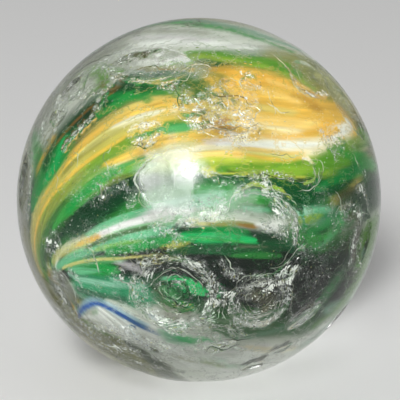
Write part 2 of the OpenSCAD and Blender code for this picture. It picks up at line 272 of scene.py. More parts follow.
    ("ash", 0.5, 0.8, [(102, 69, 0.5), (105, 75, 0.7), (108, 81, 0.4)]),
    ("spring", 0.7, 0.7, [(48, 10, 1), (62, 16, 1.4), (72, 22, 1.4), (80, 28, 1.2)]),
    ("straw", 0.8, 0.6, [(40, 8.6, 0.4), (52, 12, 0.5), (63, 17, 0.5), (71, 22, 0.5), (78, 27, 0.5),
                         (83, 33, 0.5), (88, 40, 0.3)]),
    ("lavender", 0.5, 0.7, [(80, 26, 0.5), (85, 29, 1), (91, 32, 0.8)]),
    ("bright", 1.0, 0.5, [(66, 13, 1), (74, 17, 1.6), (80, 21, 2.2), (85, 25, 1.4)]),
    ("mint", 0.8, 0.8, [(58, 11, 0.6), (67, 13, 1.3), (74, 16, 1), (80, 20, 0.5)]),
    ("frosted_mint", 0.7, 0.8, [(58, 9, 0.5), (76, 11, 0.8), (90, 17, 1), (98, 24, 1), (103, 30, 0.8)]),
    ("bottle", 0.6, 0.6, [(96, 9, 1), (108, 16, 1.8), (113, 24, 1.6)]),
    # the foot of the ball
    ("milk", 0.9, 0.6, [(116, 19, 1.6), (124, 24, 2.6), (132, 28, 2.8)]),
    ("sky", 0.9, 0.7, [(170, 10, 1), (140, 10, 1.4), (119, 13, 1.8), (121, 18, 2), (128, 23, 2),
                       (137, 30, 1.6)]),
    ("blue", 1.0, 0.5, [(182, 11.5, 0.4), (162, 9.8, 0.6), (142, 10, 0.8), (126, 12, 0.8),
                        (119, 14.5, 0.8), (122, 18, 0.8), (128, 22.5, 0.8), (135, 27, 0.6),
                        (141, 31, 0.4)]),
    ("steel", 0.7, 0.9, [(132, 25, 0.5), (137, 28.5, 0.9), (141, 32, 0.9), (145, 36, 0.4)]),
    ("leaf", 0.5, 0.6, [(132, 14.4, 0.6), (141, 13.6, 0.8), (148, 13.4, 0.5)]),
    ("white", 0.9, 0.6, [(172, 11.6, 0.6), (158, 12.6, 1.3), (146, 15, 1.5), (138, 19, 1.4)]),
    ("white", 1.0, 0.7, [(128, 16, 1.4), (140, 20, 2.8), (150, 27, 2.6), (156, 34, 1.6)]),
    ("fern", 0.6, 0.7, [(178, 13, 1.2), (168, 19, 1.4), (166, 26, 1)]),
    ("ash", 0.3, 0.7, [(148, 31, 2), (157, 35, 3), (166, 40, 2)]),
    ("mint", 0.6, 0.6, [(141, 37, 2), (150, 42, 3), (160, 52, 3), (172, 68, 2.4)]),
    ("mint", 0.7, 0.8, [(143, 38, 0.8), (148, 42, 1.8), (153, 47, 1.6)]),
    ("vivid", 0.8, 0.7, [(145, 41, 0.6), (148, 45, 1.8), (152, 50, 2.4), (156, 57, 2), (159, 63, 1)]),
    ("mint", 0.8, 0.7, [(154, 52, 1), (158, 60, 1.6), (161, 67, 1)]),
    ("moss", 1.0, 0.5, [(164, 29, 1.4), (172, 36, 2.4), (180, 43, 3), (188, 52, 3.4),
                        (196, 61, 3.8), (204, 71, 3.4)]),
    ("grass", 0.9, 0.6, [(138, 54, 1.8), (145, 62, 2.6), (152, 72, 3), (158, 84, 3.2), (162, 96, 3)]),
    ("white", 1.0, 0.7, [(156, 42, 2.4), (161, 53, 4.4), (167, 68, 5.4), (172, 84, 5), (172, 100, 3.8),
                         (163, 116, 2.6), (150, 127, 1.8)]),
    ("spring", 0.5, 0.7, [(140, 118, 2), (148, 110, 2.4), (156, 100, 2)]),
    ("lavender", 0.7, 0.7, [(158, 56, 1.2), (164, 68, 2), (168, 84, 1.8)]),
    ("spring", 0.5, 0.8, [(172, 56, 0.8), (177, 68, 1.4), (179, 82, 1.2)]),
    ("grey", 0.5, 0.8, [(160, 46, 0.6), (165, 58, 1), (170, 72, 1)]),
    ("olive", 0.5, 0.8, [(168, 46, 0.8), (174, 58, 1.2), (178, 70, 1)]),
    ("cream", 0.8, 0.7, [(162, 70, 0.8), (169, 82, 1.6), (174, 96, 1.6)]),
    ("sea", 0.6, 0.8, [(150, 60, 0.8), (155, 72, 1.6), (158, 88, 1.6)]),
    # under the great shell
    ("deep", 1.0, 0.6, [(98, 33, 2.6), (108, 38, 4.6), (118, 42, 5), (127, 48, 5)]),
    ("bottle", 0.8, 0.6, [(119, 38, 2), (121, 45, 2.6), (122, 52, 2)]),
    ("mint", 0.8, 0.6, [(101, 38, 1), (104, 41, 1.6), (107, 44, 1.2)]),
    ("vivid", 1.0, 0.5, [(104, 41, 1.6), (109, 46, 2.8), (115, 50, 3), (120, 55, 2)]),
    ("bright", 0.9, 0.6, [(120, 37, 1.8), (125, 41, 2.6), (128, 45, 2.6), (131, 49, 1.6)]),
    ("spring", 0.8, 0.6, [(108, 36, 1), (112, 39, 1.8), (116, 39, 1.8), (119, 42, 1)]),
    ("lemon", 0.6, 0.7, [(124, 40, 0.6), (126, 43, 0.9), (128, 47, 0.6)]),
    # the right side
    ("grass", 0.8, 0.6, [(104, 108, 1.4), (107, 118, 2), (110, 128, 2.6), (112, 138, 2)]),
    ("olive", 0.9, 0.7, [(107, 117, 1), (109, 122, 2), (110, 128, 2.4), (109, 134, 2)]),
    ("honey", 0.6, 0.7, [(108, 120, 0.7), (110, 126, 1.1), (109, 132, 0.8)]),
    ("bright", 0.6, 0.6, [(98, 112, 1.2), (99, 119, 1.8), (101, 127, 2.2), (105, 136, 2.4)]),
    ("mint", 0.8, 0.6, [(100, 98, 1.2), (103, 104, 2.4), (106, 110, 2.2), (110, 115, 1.2)]),
    ("milk", 0.9, 0.8, [(98, 96, 0.9), (102, 101, 1.6), (105, 107, 1)]),
    ("lime", 0.8, 0.7, [(104, 97, 1), (107, 103, 1.9), (109, 109, 1.2)]),
    ("bottle", 0.9, 0.7, [(112, 124, 5), (120, 134, 6), (128, 143, 7), (140, 150, 7)]),
    ("grass", 0.9, 0.8, [(106, 92, 2), (111, 98, 4), (118, 105, 5.5), (120, 114, 5), (120, 124, 4)]),
    ("leaf", 0.9, 0.7, [(108, 96, 1), (114, 101, 2.2), (120, 106, 2.6), (120, 115, 2), (118, 122, 1.4)]),
    ("bottle", 0.8, 0.8, [(116, 94, 2), (124, 99, 3), (132, 106, 3.4), (136, 114, 3)]),
    ("bottle", 0.7, 0.7, [(114, 104, 0.7), (117, 111, 1.2), (114, 119, 1)]),
    ("mint", 0.5, 0.8, [(121, 102, 0.4), (122, 109, 0.8), (120, 116, 0.9), (117, 122, 0.5)]),
    ("spring", 0.4, 0.8, [(111, 100, 0.4), (114, 106, 0.7), (113, 113, 0.5)]),
    ("grass", 0.6, 0.8, [(124, 106, 0.8), (128, 114, 1.4), (128, 122, 1)]),
    ("fern", 0.7, 0.8, [(138, 134, 4), (150, 127, 4.4), (160, 120, 4.4), (168, 112, 3)]),
    ("sea", 0.8, 0.7, [(155, 130, 2), (163, 121, 3), (171, 112, 3.4), (175, 100, 3)]),
    ("fern", 0.7, 0.8, [(150, 128, 1.4), (157, 120, 2.2), (163, 111, 2), (166, 102, 1.4)]),
    ("ink", 0.8, 0.8, [(128, 100, 3), (136, 106, 4), (140, 114, 4), (140, 122, 3)]),
    ("leaf", 0.9, 0.6, [(92, 132, 1.4), (99, 137, 2.4), (107, 142, 2.4), (116, 146, 1.6)]),
    ("frosted_mint", 0.9, 0.8, [(98, 97, 0.8), (102, 101, 1.8), (105, 106, 1)]),
    ("fern", 0.8, 0.6, [(86, 128, 1.8), (90, 134, 2.4), (94, 141, 2.4), (98, 150, 2)]),
    ("bright", 0.6, 0.6, [(112, 96, 1.2), (114, 106, 1.7), (116, 118, 1.2)]),
    # the crown
    ("olive", 0.9, 0.7, [(36, 126, 3), (46, 132, 4), (56, 136, 4), (64, 141, 3)]),
    ("lime", 0.6, 0.8, [(40, 128, 1.6), (50, 133, 2), (60, 137, 1.6)]),
    ("white", 0.9, 0.6, [(-16, 100, 1.6), (-8, 105, 2), (2, 111, 2.2), (14, 120, 2.2), (24, 128, 1.4)]),
    ("olive", 0.7, 0.6, [(1, 91, 0.8), (7, 96, 1.2), (12, 102, 1)]),
    ("sea", 0.9, 0.7, [(-48, 88, 0.5), (-40, 100, 0.9), (-30, 111, 1.4), (-16, 118, 2), (-4, 124, 2.2),
                       (8, 131, 1.8), (20, 138, 1.4), (30, 146, 0.8)]),
    ("leaf", 0.9, 0.6, [(-52, 78, 0.4), (-43, 90, 0.7), (-33, 101, 0.9), (-24, 111, 1), (-15, 116, 1.4),
                        (-3, 122, 1.7), (8, 128, 1.3), (20, 134, 0.9), (32, 141, 0.5)]),
    ("ash", 0.6, 0.6, [(-22, 106, 0.8), (-10, 112, 1), (4, 120, 1)]),
    ("lavender", 0.8, 0.6, [(-20, 103, 0.7), (-8, 109, 1), (8, 118, 1)]),
    ("olive", 0.6, 0.8, [(-12, 92, 0.8), (-3, 97, 1.2), (6, 103, 1)]),
    ("white", 0.6, 0.8, [(-20, 94, 0.8), (-10, 98, 1.2), (0, 104, 1)]),
    ("fern", 1.0, 0.5, [(2, 99, 1.2), (10, 107, 2.4), (20, 114, 3.1), (29, 120, 3.4), (36, 127, 3.2),
                        (44, 134, 3)]),
    ("olive", 0.8, 0.6, [(6, 100, 0.9), (12, 107, 1.1), (22, 113, 1.2), (32, 120, 1.2)]),
    ("lime", 0.7, 0.7, [(8, 103, 1), (18, 111, 1.4), (28, 118, 1.4), (38, 126, 1.2)]),
    ("orange", 0.6, 0.8, [(26, 107, 1.4), (36, 114, 2), (44, 121, 2.2), (50, 127, 1.6)]),
    # painted shade: a brown patch that stands for the shadow under the brow flake
    ("brown", 0.5, 0.9, [(57, 126, 1.2), (62, 130, 2), (68, 132, 1.6)]),
    ("peach", 0.6, 0.6, [(40, 110, 1.2), (50, 118, 1.6), (60, 126, 1.4)]),
    ("peach", 0.9, 0.7, [(48, 98, 1.2), (56, 104, 2.2), (63, 111, 2.6), (69, 119, 2.2), (74, 128, 1.2)]),
    ("cream", 0.6, 0.7, [(52, 97, 0.8), (59, 104, 1.2), (66, 111, 1.4), (72, 119, 1)]),
    ("straw", 0.6, 0.6, [(46, 104, 1.2), (56, 112, 1.6), (64, 121, 1.4)]),
    ("orange", 0.5, 0.8, [(63, 101, 0.8), (70, 110, 1.2), (74, 121, 1.4), (76, 133, 1.2)]),
    ("peach", 0.6, 0.5, [(44, 121, 0.7), (53, 128, 0.9), (60, 132, 0.7)]),
]


# ---------------------------------------------------------------------------------------------
# Marks in the skin, with the sizes that the solid model has, in millimetres
# ---------------------------------------------------------------------------------------------
# Long scallops: (east, north, turn), (length, width, hollow)
SCALLOPS = {
    "crown": ((-22, 46, -4), (6.2, 3.4, 0.14)),
    "brow": ((53, 41, 26), (4.2, 3.3, 0.16)),
    "shoulder": ((68, 31, 103), (5, 3, 0.1)),
    "temple": ((-72, 6, 90), (4.6, 2.9, 0.12)),
    "flank": ((64, -13, 92), (4.1, 2.8, 0.14)),
    "leaf": ((46, -38, 52), (3.1, 1.7, 0.12)),
    "middle": ((-13, 6, 90), (3.2, 2.4, 0.05)),
    "sliver": ((-31, 2, 110), (1.3, 0.6, 0.08)),
    "edge_low": ((79, -40, 83), (2.6, 1.2, 0.08)),
    "edge_foot": ((42, -64, 50), (2.0, 1.2, 0.1)),
    "edge_inner": ((48, -53, 45), (1.9, 1.2, 0.06)),
}
# Round dishes: (east, north), (width, hollow)
DISHES = {
    "pontil": ((-59, -29), (3.8, 0.08)),
    "far_pontil": ((121, 29), (2.6, 0.03)),
    "cheek": ((-58, 37), (2.4, 0.14)),
    "flat_left": ((-90, -70), (3.8, 0.02)),
    "flat_right": ((90, 63), (3.2, 0.02)),
    "flat_foot": ((0, -90), (3.2, 0.02)),
}
# Bites of the crushed patch: east, north, width, hollow
CRUSHED_PATCH = [
    (-4, 29, 1.5, 0.12), (1, 31, 1.9, 0.16), (6, 34, 1.6, 0.13), (11, 36, 1.7, 0.14),
    (20, 38, 1.4, 0.16), (16, 31, 2.0, 0.15), (9, 28, 2.1, 0.18), (4, 24, 1.5, 0.12),
    (13, 23, 1.7, 0.16), (0, 23, 1.1, 0.1),
]
# Rough chips of three bites each: east, north, width, hollow
ROUGH_CHIPS = [
    (-17, 20, 1.7, 0.14), (-58, 26, 1.3, 0.12), (-54, -14, 1.5, 0.14), (-28, -24, 0.9, 0.12),
    (50, 18, 1.7, 0.14), (53, -4, 1.2, 0.12), (-3, -4, 1.4, 0.08), (-9, -8, 1.1, 0.08),
    (4, -2, 1.2, 0.08), (-40, -48, 1.3, 0.12), (-31, -44, 0.9, 0.12), (-22, -52, 1.0, 0.1),
]
CHIP_STEP = 0.42
CHIP_SHARE = 0.72
CHIP_TURNS = (35, 175)
# Ringed shells: (east, north), (rim width, struck ring's width, hollow)
SHELLS = {
    "great": ((-8, -30), (5.5, 1.6, 0.32)),
    "lesser": ((23, -33), (4.4, 1.2, 0.3)),
    "foot": ((8, -48), (2.7, 0.6, 0.18)),
}
RING_STEP = 0.16
RIPPLES = 4
# Moons: (east, north, turn), (width, sweep, groove's width, its depth)
MOONS = {
    "great": ((19, -11, -62), (6.1, 172, 0.7, 0.2)),
    "little": ((35, 8, -100), (1.8, 200, 0.28, 0.08)),
}
# Corners of the crushed track, and one bite of it
TRACK = [(-37, 38), (-38, 32), (-39, 26), (-43, 22), (-47, 18), (-49, 14)]
TRACK_BITE = (0.62, 0.09)
# Crushed and powdered places between the marks: how thick, then (east, north, half width)
WEAR = [
    # the crown flake's border and floor
    (1.0, [(-46, 46, 1.3), (-38, 42, 1.2), (-29, 40, 1.3), (-22, 41, 1.2), (-15, 42, 0.9)]),
    (0.25, [(-24, 45, 2.6), (-14, 47, 3.4), (-4, 46, 3), (2, 43, 2)]),
    (0.35, [(-20, 51, 1), (-13, 50, 1.2), (-6, 51, 1)]),
    # the ragged edge down from the crown to the patch
    (0.9, [(-15, 37, 1.2), (-9, 37, 1.5), (-5, 33, 1.6), (-6, 29, 1.5), (-3, 25, 1.6), (0, 23, 1.4),
           (5, 23, 0.8)]),
    (0.6, [(2, 27, 1.6), (6, 30, 1.8), (10, 29, 1.8), (14, 26, 1.8), (17, 22, 1.4)]),
    (0.8, [(8, 21, 0.8), (11, 19, 1.2), (15, 19, 1.2), (21, 22, 0.8)]),
    (0.7, [(20, 40, 0.7), (22, 38, 0.9), (24, 36, 0.7)]),
    (0.8, [(-21, 23, 0.8), (-18, 24, 1.2), (-15, 21, 1.2), (-17, 17, 1), (-21, 18, 0.8)]),
    # the upper left edge
    (0.5, [(-36, 56, 1.2), (-45, 50, 2), (-54, 45, 2.6), (-60, 39, 2.8), (-64, 32, 2.8), (-66, 26, 2.2),
           (-68, 20, 1.6)]),
    (0.5, [(-70, 46, 2), (-74, 36, 2.4), (-78, 26, 2.2), (-80, 14, 1.8), (-78, 2, 1.2)]),
    (0.9, [(-62, 29, 0.9), (-57, 25, 0.9), (-55, 22, 0.6)]),
    (0.8, [(-60, 27, 0.8), (-59, 32, 1), (-54, 34, 1), (-48, 34, 0.8)]),
    (0.5, [(-61, -25, 1.4), (-59, -30, 1.6), (-59, -36, 1.2)]),
    (0.6, [(-49, 28, 0.5), (-45, 33, 0.5), (-40, 36, 0.5)]),
    (0.9, [(-37, 38, 0.7), (-38, 32, 0.8), (-40, 26, 0.7), (-44, 21, 0.5), (-48, 16, 0.5)]),
    (0.7, [(-80, 20, 1), (-72, 13, 1.3), (-68, 7, 1.2), (-66, 1, 0.9), (-68, -6, 0.7)]),
    # specks and rows across the middle
    (0.4, [(-27, 7, 1.2), (-23, 3, 1.7), (-20, 0, 1.6), (-22, -3, 1)]),
    (0.7, [(2, 8, 0.5), (8, 6, 0.7), (15, 7, 0.8), (22, 8, 0.5), (30, 7, 0.4)]),
    (0.8, [(16, 6, 0.8), (13, 3, 0.9), (10, 0, 1), (8, -3, 1.1), (4, -5, 1.2), (-1, -7, 1)]),
    (1.0, [(19, 6, 0.8), (21, 4, 1.3), (24, 1, 1.8), (26, -2, 1.7), (28, -5, 1.4), (30, -9, 1.3),
           (32, -12, 1), (34, -15, 0.7)]),
    (0.7, [(20, -7, 0.7), (25, -10, 1.1), (31, -12, 0.8)]),
    (0.7, [(-14, -8, 1), (-10, -9, 1.5), (-7, -11, 1.2), (-9, -14, 0.8)]),
    # a thin dust over the strands
    (0.3, [(-46, -16, 3), (-36, -14, 4), (-26, -13, 4), (-16, -13, 3)]),
    (0.3, [(-47, -28, 2), (-38, -30, 3), (-29, -33, 3)]),
    (0.25, [(-42, 4, 3), (-34, 3, 4), (-27, 8, 3)]),
    (0.2, [(38, -16, 4), (43, -24, 5), (40, -33, 4)]),
    (0.25, [(42, 0, 3), (48, -6, 3), (48, -14, 3)]),
    # round the great shell
    (1.0, [(-22, -22, 1), (-23, -29, 1.3), (-22, -35, 1.4), (-18, -39, 1.5), (-13, -42, 1.7),
           (-7, -43, 1.9), (-1, -42, 1.6), (4, -39, 1.3), (7, -34, 1)]),
    (0.8, [(-18, -20, 0.8), (-14, -17, 0.9), (-9, -18, 0.9)]),
    (1.0, [(-9, -18, 1.2), (-5, -20, 1.5), (-1, -22, 1.5), (2, -25, 1.5), (5, -29, 1.3), (7, -33, 1)]),
    (0.6, [(-11, -30, 0.6), (-9, -27, 0.6), (-6, -27, 0.6), (-3, -28, 0.6), (-2, -31, 0.6),
           (-4, -35, 0.6), (-8, -36, 0.6), (-10, -33, 0.6)]),
    (0.4, [(-14, -28, 1.4), (-14, -33, 1.6), (-9, -38, 1.4)]),
    (0.7, [(0, -19, 0.8), (4, -25, 1), (8, -31, 1.3), (11, -34, 1)]),
    # round the lesser shell and the foot
    (1.0, [(14, -29, 1), (20, -27, 1.3), (25, -26, 1.5), (29, -25, 1.5), (34, -22, 1.1)]),
    (0.6, [(18, -30, 1.8), (25, -31, 2), (31, -28, 1.6)]),
    (0.8, [(12, -32, 1.3), (15, -37, 1.5), (20, -40, 1.3), (26, -37, 1.2), (31, -35, 1.1), (35, -32, 0.8)]),
    (0.6, [(8, -20, 1.2), (12, -23, 1.5), (16, -26, 1.2)]),
    (0.7, [(6, -42, 0.8), (10, -41, 1.2), (15, -43, 1.2), (19, -46, 0.9)]),
    (0.8, [(2, -54, 0.5), (7, -52, 0.8), (13, -51, 0.8), (21, -53, 0.5)]),
    # the bottom and the pontil
    (0.8, [(-56, -42, 1.6), (-42, -44, 2.2), (-34, -47, 2.4), (-26, -49, 2.2), (-16, -52, 1.6)]),
    (0.35, [(-16, -52, 1.6), (-5, -57, 1.8), (8, -59, 1.4)]),
    (0.7, [(-56, -23, 1.4), (-60, -28, 2.6), (-62, -35, 2.4), (-56, -39, 1.6)]),
    (0.9, [(-72, -28, 1.4), (-74, -34, 2), (-70, -41, 2.2), (-65, -48, 2.2), (-58, -56, 2.2),
           (-46, -62, 2), (-30, -66, 1.6), (-12, -68, 1)]),
    (0.7, [(-60, -44, 1.6), (-52, -50, 2), (-40, -54, 2), (-26, -58, 1.6)]),
    (0.9, [(-57, -13, 0.9), (-53, -15, 1.4), (-50, -16, 0.8)]),
    (0.7, [(-48, -22, 0.7), (-46, -25, 0.8), (-44, -27, 0.5)]),
    # the right side
    (0.25, [(50, 46, 1.2), (53, 43, 1.6), (57, 39, 1.5), (59, 36, 1)]),
    (0.7, [(41, 47, 0.5), (42, 42, 0.6), (41, 38, 0.6), (46, 35, 0.6), (54, 34, 0.7), (60, 35, 0.6)]),
    (0.8, [(45, 22, 0.8), (47, 18, 1.2), (48, 13, 0.8)]),
    (0.6, [(60, 17, 0.5), (60, 12, 0.6), (65, 7, 0.7)]),
    (0.9, [(56, -2, 0.9), (61, -6, 1.3), (65, -12, 1.3), (64, -18, 1.2), (60, -20, 0.8)]),
    (0.8, [(57, 2, 0.8), (60, 4, 1.2), (63, 2, 1.1), (66, -2, 0.9)]),
    (0.9, [(76, 48, 0.6), (80, 42, 0.6), (83, 36, 0.6), (81, 29, 0.6), (80, 22, 0.5)]),
    (0.6, [(41, -40, 0.9), (46, -37, 1.3), (52, -33, 0.9)]),
    # the hidden half, worn in the same way
    (0.8, [(110, 40, 1), (120, 46, 1.6), (132, 44, 1.2)]),
    (0.7, [(150, -20, 1), (158, -10, 1.7), (160, 2, 1)]),
    (0.7, [(-150, 12, 1), (-140, 20, 1.6), (-128, 22, 1)]),
    (0.8, [(-120, -40, 1.2), (-132, -34, 1.6), (-146, -38, 1)]),
    (0.6, [(100, -30, 1), (106, -20, 1.3), (104, -8, 0.9)]),
]

# Milky veils under the skin, and a painted glow round the lamp's highlight: how thick, then (east, north,
# half width)
VEILS_AND_GLOW = [
    # the middle flake's milky floor, which also carries the painted glow of the lamp's highlight
    (0.5, [(-13, 12, 3.6), (-14, 6, 5), (-13, -1, 4)]),
    # painted glow round the lamp's highlight
    (0.45, [(-9, 13, 5), (-6, 8, 7), (-7, 1, 6)]),
    (0.18, [(-26, 46, 3), (-16, 46, 4), (-6, 46, 4), (1, 43, 2.4)]),
    (0.05, [(-44, 52, 3), (-54, 46, 4), (-62, 38, 4.5), (-68, 28, 4), (-72, 16, 3)]),
    (0.08, [(-60, 36, 4), (-54, 33, 3.4), (-49, 30, 2)]),
    (0.18, [(-40, 62, 4), (-10, 62, 5), (20, 60, 5), (45, 54, 4)]),
    (0.12, [(-66, -44, 3), (-52, -46, 4), (-36, -50, 4.4)]),
    (0.04, [(-24, -52, 3), (-10, -57, 4.4), (8, -61, 5), (30, -60, 4), (46, -58, 3)]),
    (0.25, [(4, -2, 4), (12, 0, 4), (18, -3, 3)]),
    (0.12, [(70, 44, 3), (74, 32, 3.4), (76, 22, 2.4)]),
    (0.04, [(50, 44, 2), (54, 40, 2.4), (57, 37, 1.8)]),
    (0.1, [(-59, -29, 5)]),
    (0.3, [(44, -40, 2.4), (50, -35, 2.4)]),
]
# Dark places where a mark turns the light away, in the same form
SHADES = [
    (0.5, [(-16, 74, 1.6), (-4, 74, 2)]),
    (0.8, [(33, -63, 1), (37, -61, 2), (42, -58, 1.4)]),
    (0.6, [(42, -54, 1), (46, -52, 1.8), (49, -50, 1)]),
    (0.8, [(58, -6, 1.4), (61, -11, 2.2), (62, -17, 1.8)]),
    (0.3, [(-1, 30, 0.5), (2, 27, 0.7), (5, 25, 0.6)]),
    (0.3, [(6, 22, 0.5), (11, 21, 0.8), (16, 21, 0.5)]),
    (0.3, [(-20, 18, 0.6), (-17, 17, 0.8)]),
    (0.4, [(-15, -30, 2), (-13, -36, 2), (-6, -38, 2)]),
    (0.5, [(20, -31, 2), (26, -33, 3), (28, -36, 2)]),
    (0.4, [(44, -37, 1), (48, -34, 1)]),
    (0.35, [(-76, -30, 2), (-74, -40, 2.4), (-68, -50, 2.4), (-58, -60, 2.4)]),
    (0.3, [(-66, 42, 1.2), (-58, 50, 1.4), (-48, 56, 1.2)]),
    (0.3, [(-48, 40, 0.8), (-52, 36, 1), (-56, 31, 0.8)]),
]

# Clusters of larger white crumbs, whose white is partly painted glint, in the same form
GLINTS = [
    (1.0, [(-31, 3, 0.4), (-31, 1, 0.5)]), (1.0, [(-54, -13, 0.8), (-52, -15, 0.8)]),
    (1.0, [(-28, -24, 0.7), (-26, -25, 0.7)]), (0.8, [(-32, -43, 0.8), (-30, -44, 0.8)]),
    (1.0, [(25, -29, 0.9), (27, -28, 0.9)]), (1.0, [(31, -27, 0.8), (33, -26, 0.8)]),
    (0.8, [(24, -26, 0.6), (29, -24, 0.7), (34, -22, 0.6)]), (1.0, [(5, 33, 0.9)]),
    (0.8, [(-1, 29, 0.7), (1, 31, 0.7)]), (0.8, [(12, 26, 0.7), (14, 27, 0.8)]),
    (0.7, [(-40, 45, 0.8), (-36, 44, 0.9)]), (0.8, [(19, 4, 0.8), (21, 2, 0.8)]),
    (1.0, [(24, -3, 0.9), (26, -6, 0.9)]), (0.8, [(52, 21, 0.8), (54, 18, 0.8)]),
    (0.8, [(61, 4, 0.8), (63, 1, 0.8)]), (0.9, [(59, -12, 0.7), (60, -15, 0.9)]),
    (0.8, [(66, -18, 0.8), (67, -21, 0.8)]), (0.7, [(-3, -18, 0.7), (1, -19, 0.7)]),
    (0.7, [(-17, -23, 0.7), (-19, -26, 0.7)]), (0.7, [(10, -29, 0.7), (12, -32, 0.8)]),
    (0.7, [(-52, 47, 0.8), (-47, 50, 0.8)]), (0.7, [(-62, 41, 0.8), (-58, 44, 0.8)]),
    (0.7, [(-69, 26, 0.8), (-67, 20, 0.8)]), (0.6, [(-74, 36, 0.7), (-72, 42, 0.7)]),
    (0.7, [(-72, -36, 0.8), (-68, -42, 0.8)]), (0.6, [(-50, -60, 0.8), (-42, -62, 0.8)]),
    (0.6, [(-62, -30, 0.7), (-60, -34, 0.8)]), (0.6, [(-19, 20, 0.8), (-16, 19, 0.8)]),
    (0.8, [(57, -3, 0.8), (60, -5, 0.7)]), (0.8, [(61, -11, 0.8), (62, -15, 0.8)]),
    (1.0, [(9, 30, 0.7)]), (0.9, [(16, 33, 0.7)]), (0.8, [(4, 26, 0.7)]),
    (0.8, [(45, 36, 0.8), (50, 35, 0.8), (56, 35, 0.8)]),
    (0.4, [(-60, -40, 1.2), (-50, -46, 1.4), (-40, -50, 1.2)]),
    (0.4, [(-64, -50, 1), (-52, -56, 1.2), (-38, -60, 1)]),
    (0.3, [(-20, -50, 1), (-8, -54, 1.2), (6, -56, 1)]),
    (0.6, [(19, 43, 0.7), (21, 41, 0.7)]), (0.6, [(-16, 50, 1), (-11, 49, 1)]),
    (0.7, [(-67, 34, 0.8), (-64, 31, 0.9)]), (0.7, [(-71, 7, 0.8), (-69, 2, 0.9)]),
    (0.7, [(-65, -45, 0.9), (-61, -47, 0.9)]), (0.7, [(-56, -52, 0.9), (-50, -53, 0.9)]),
    (0.7, [(-20, -37, 0.8), (-14, -41, 0.9), (-6, -42, 0.8)]), (0.7, [(3, -37, 0.8), (6, -32, 0.8)]),
]
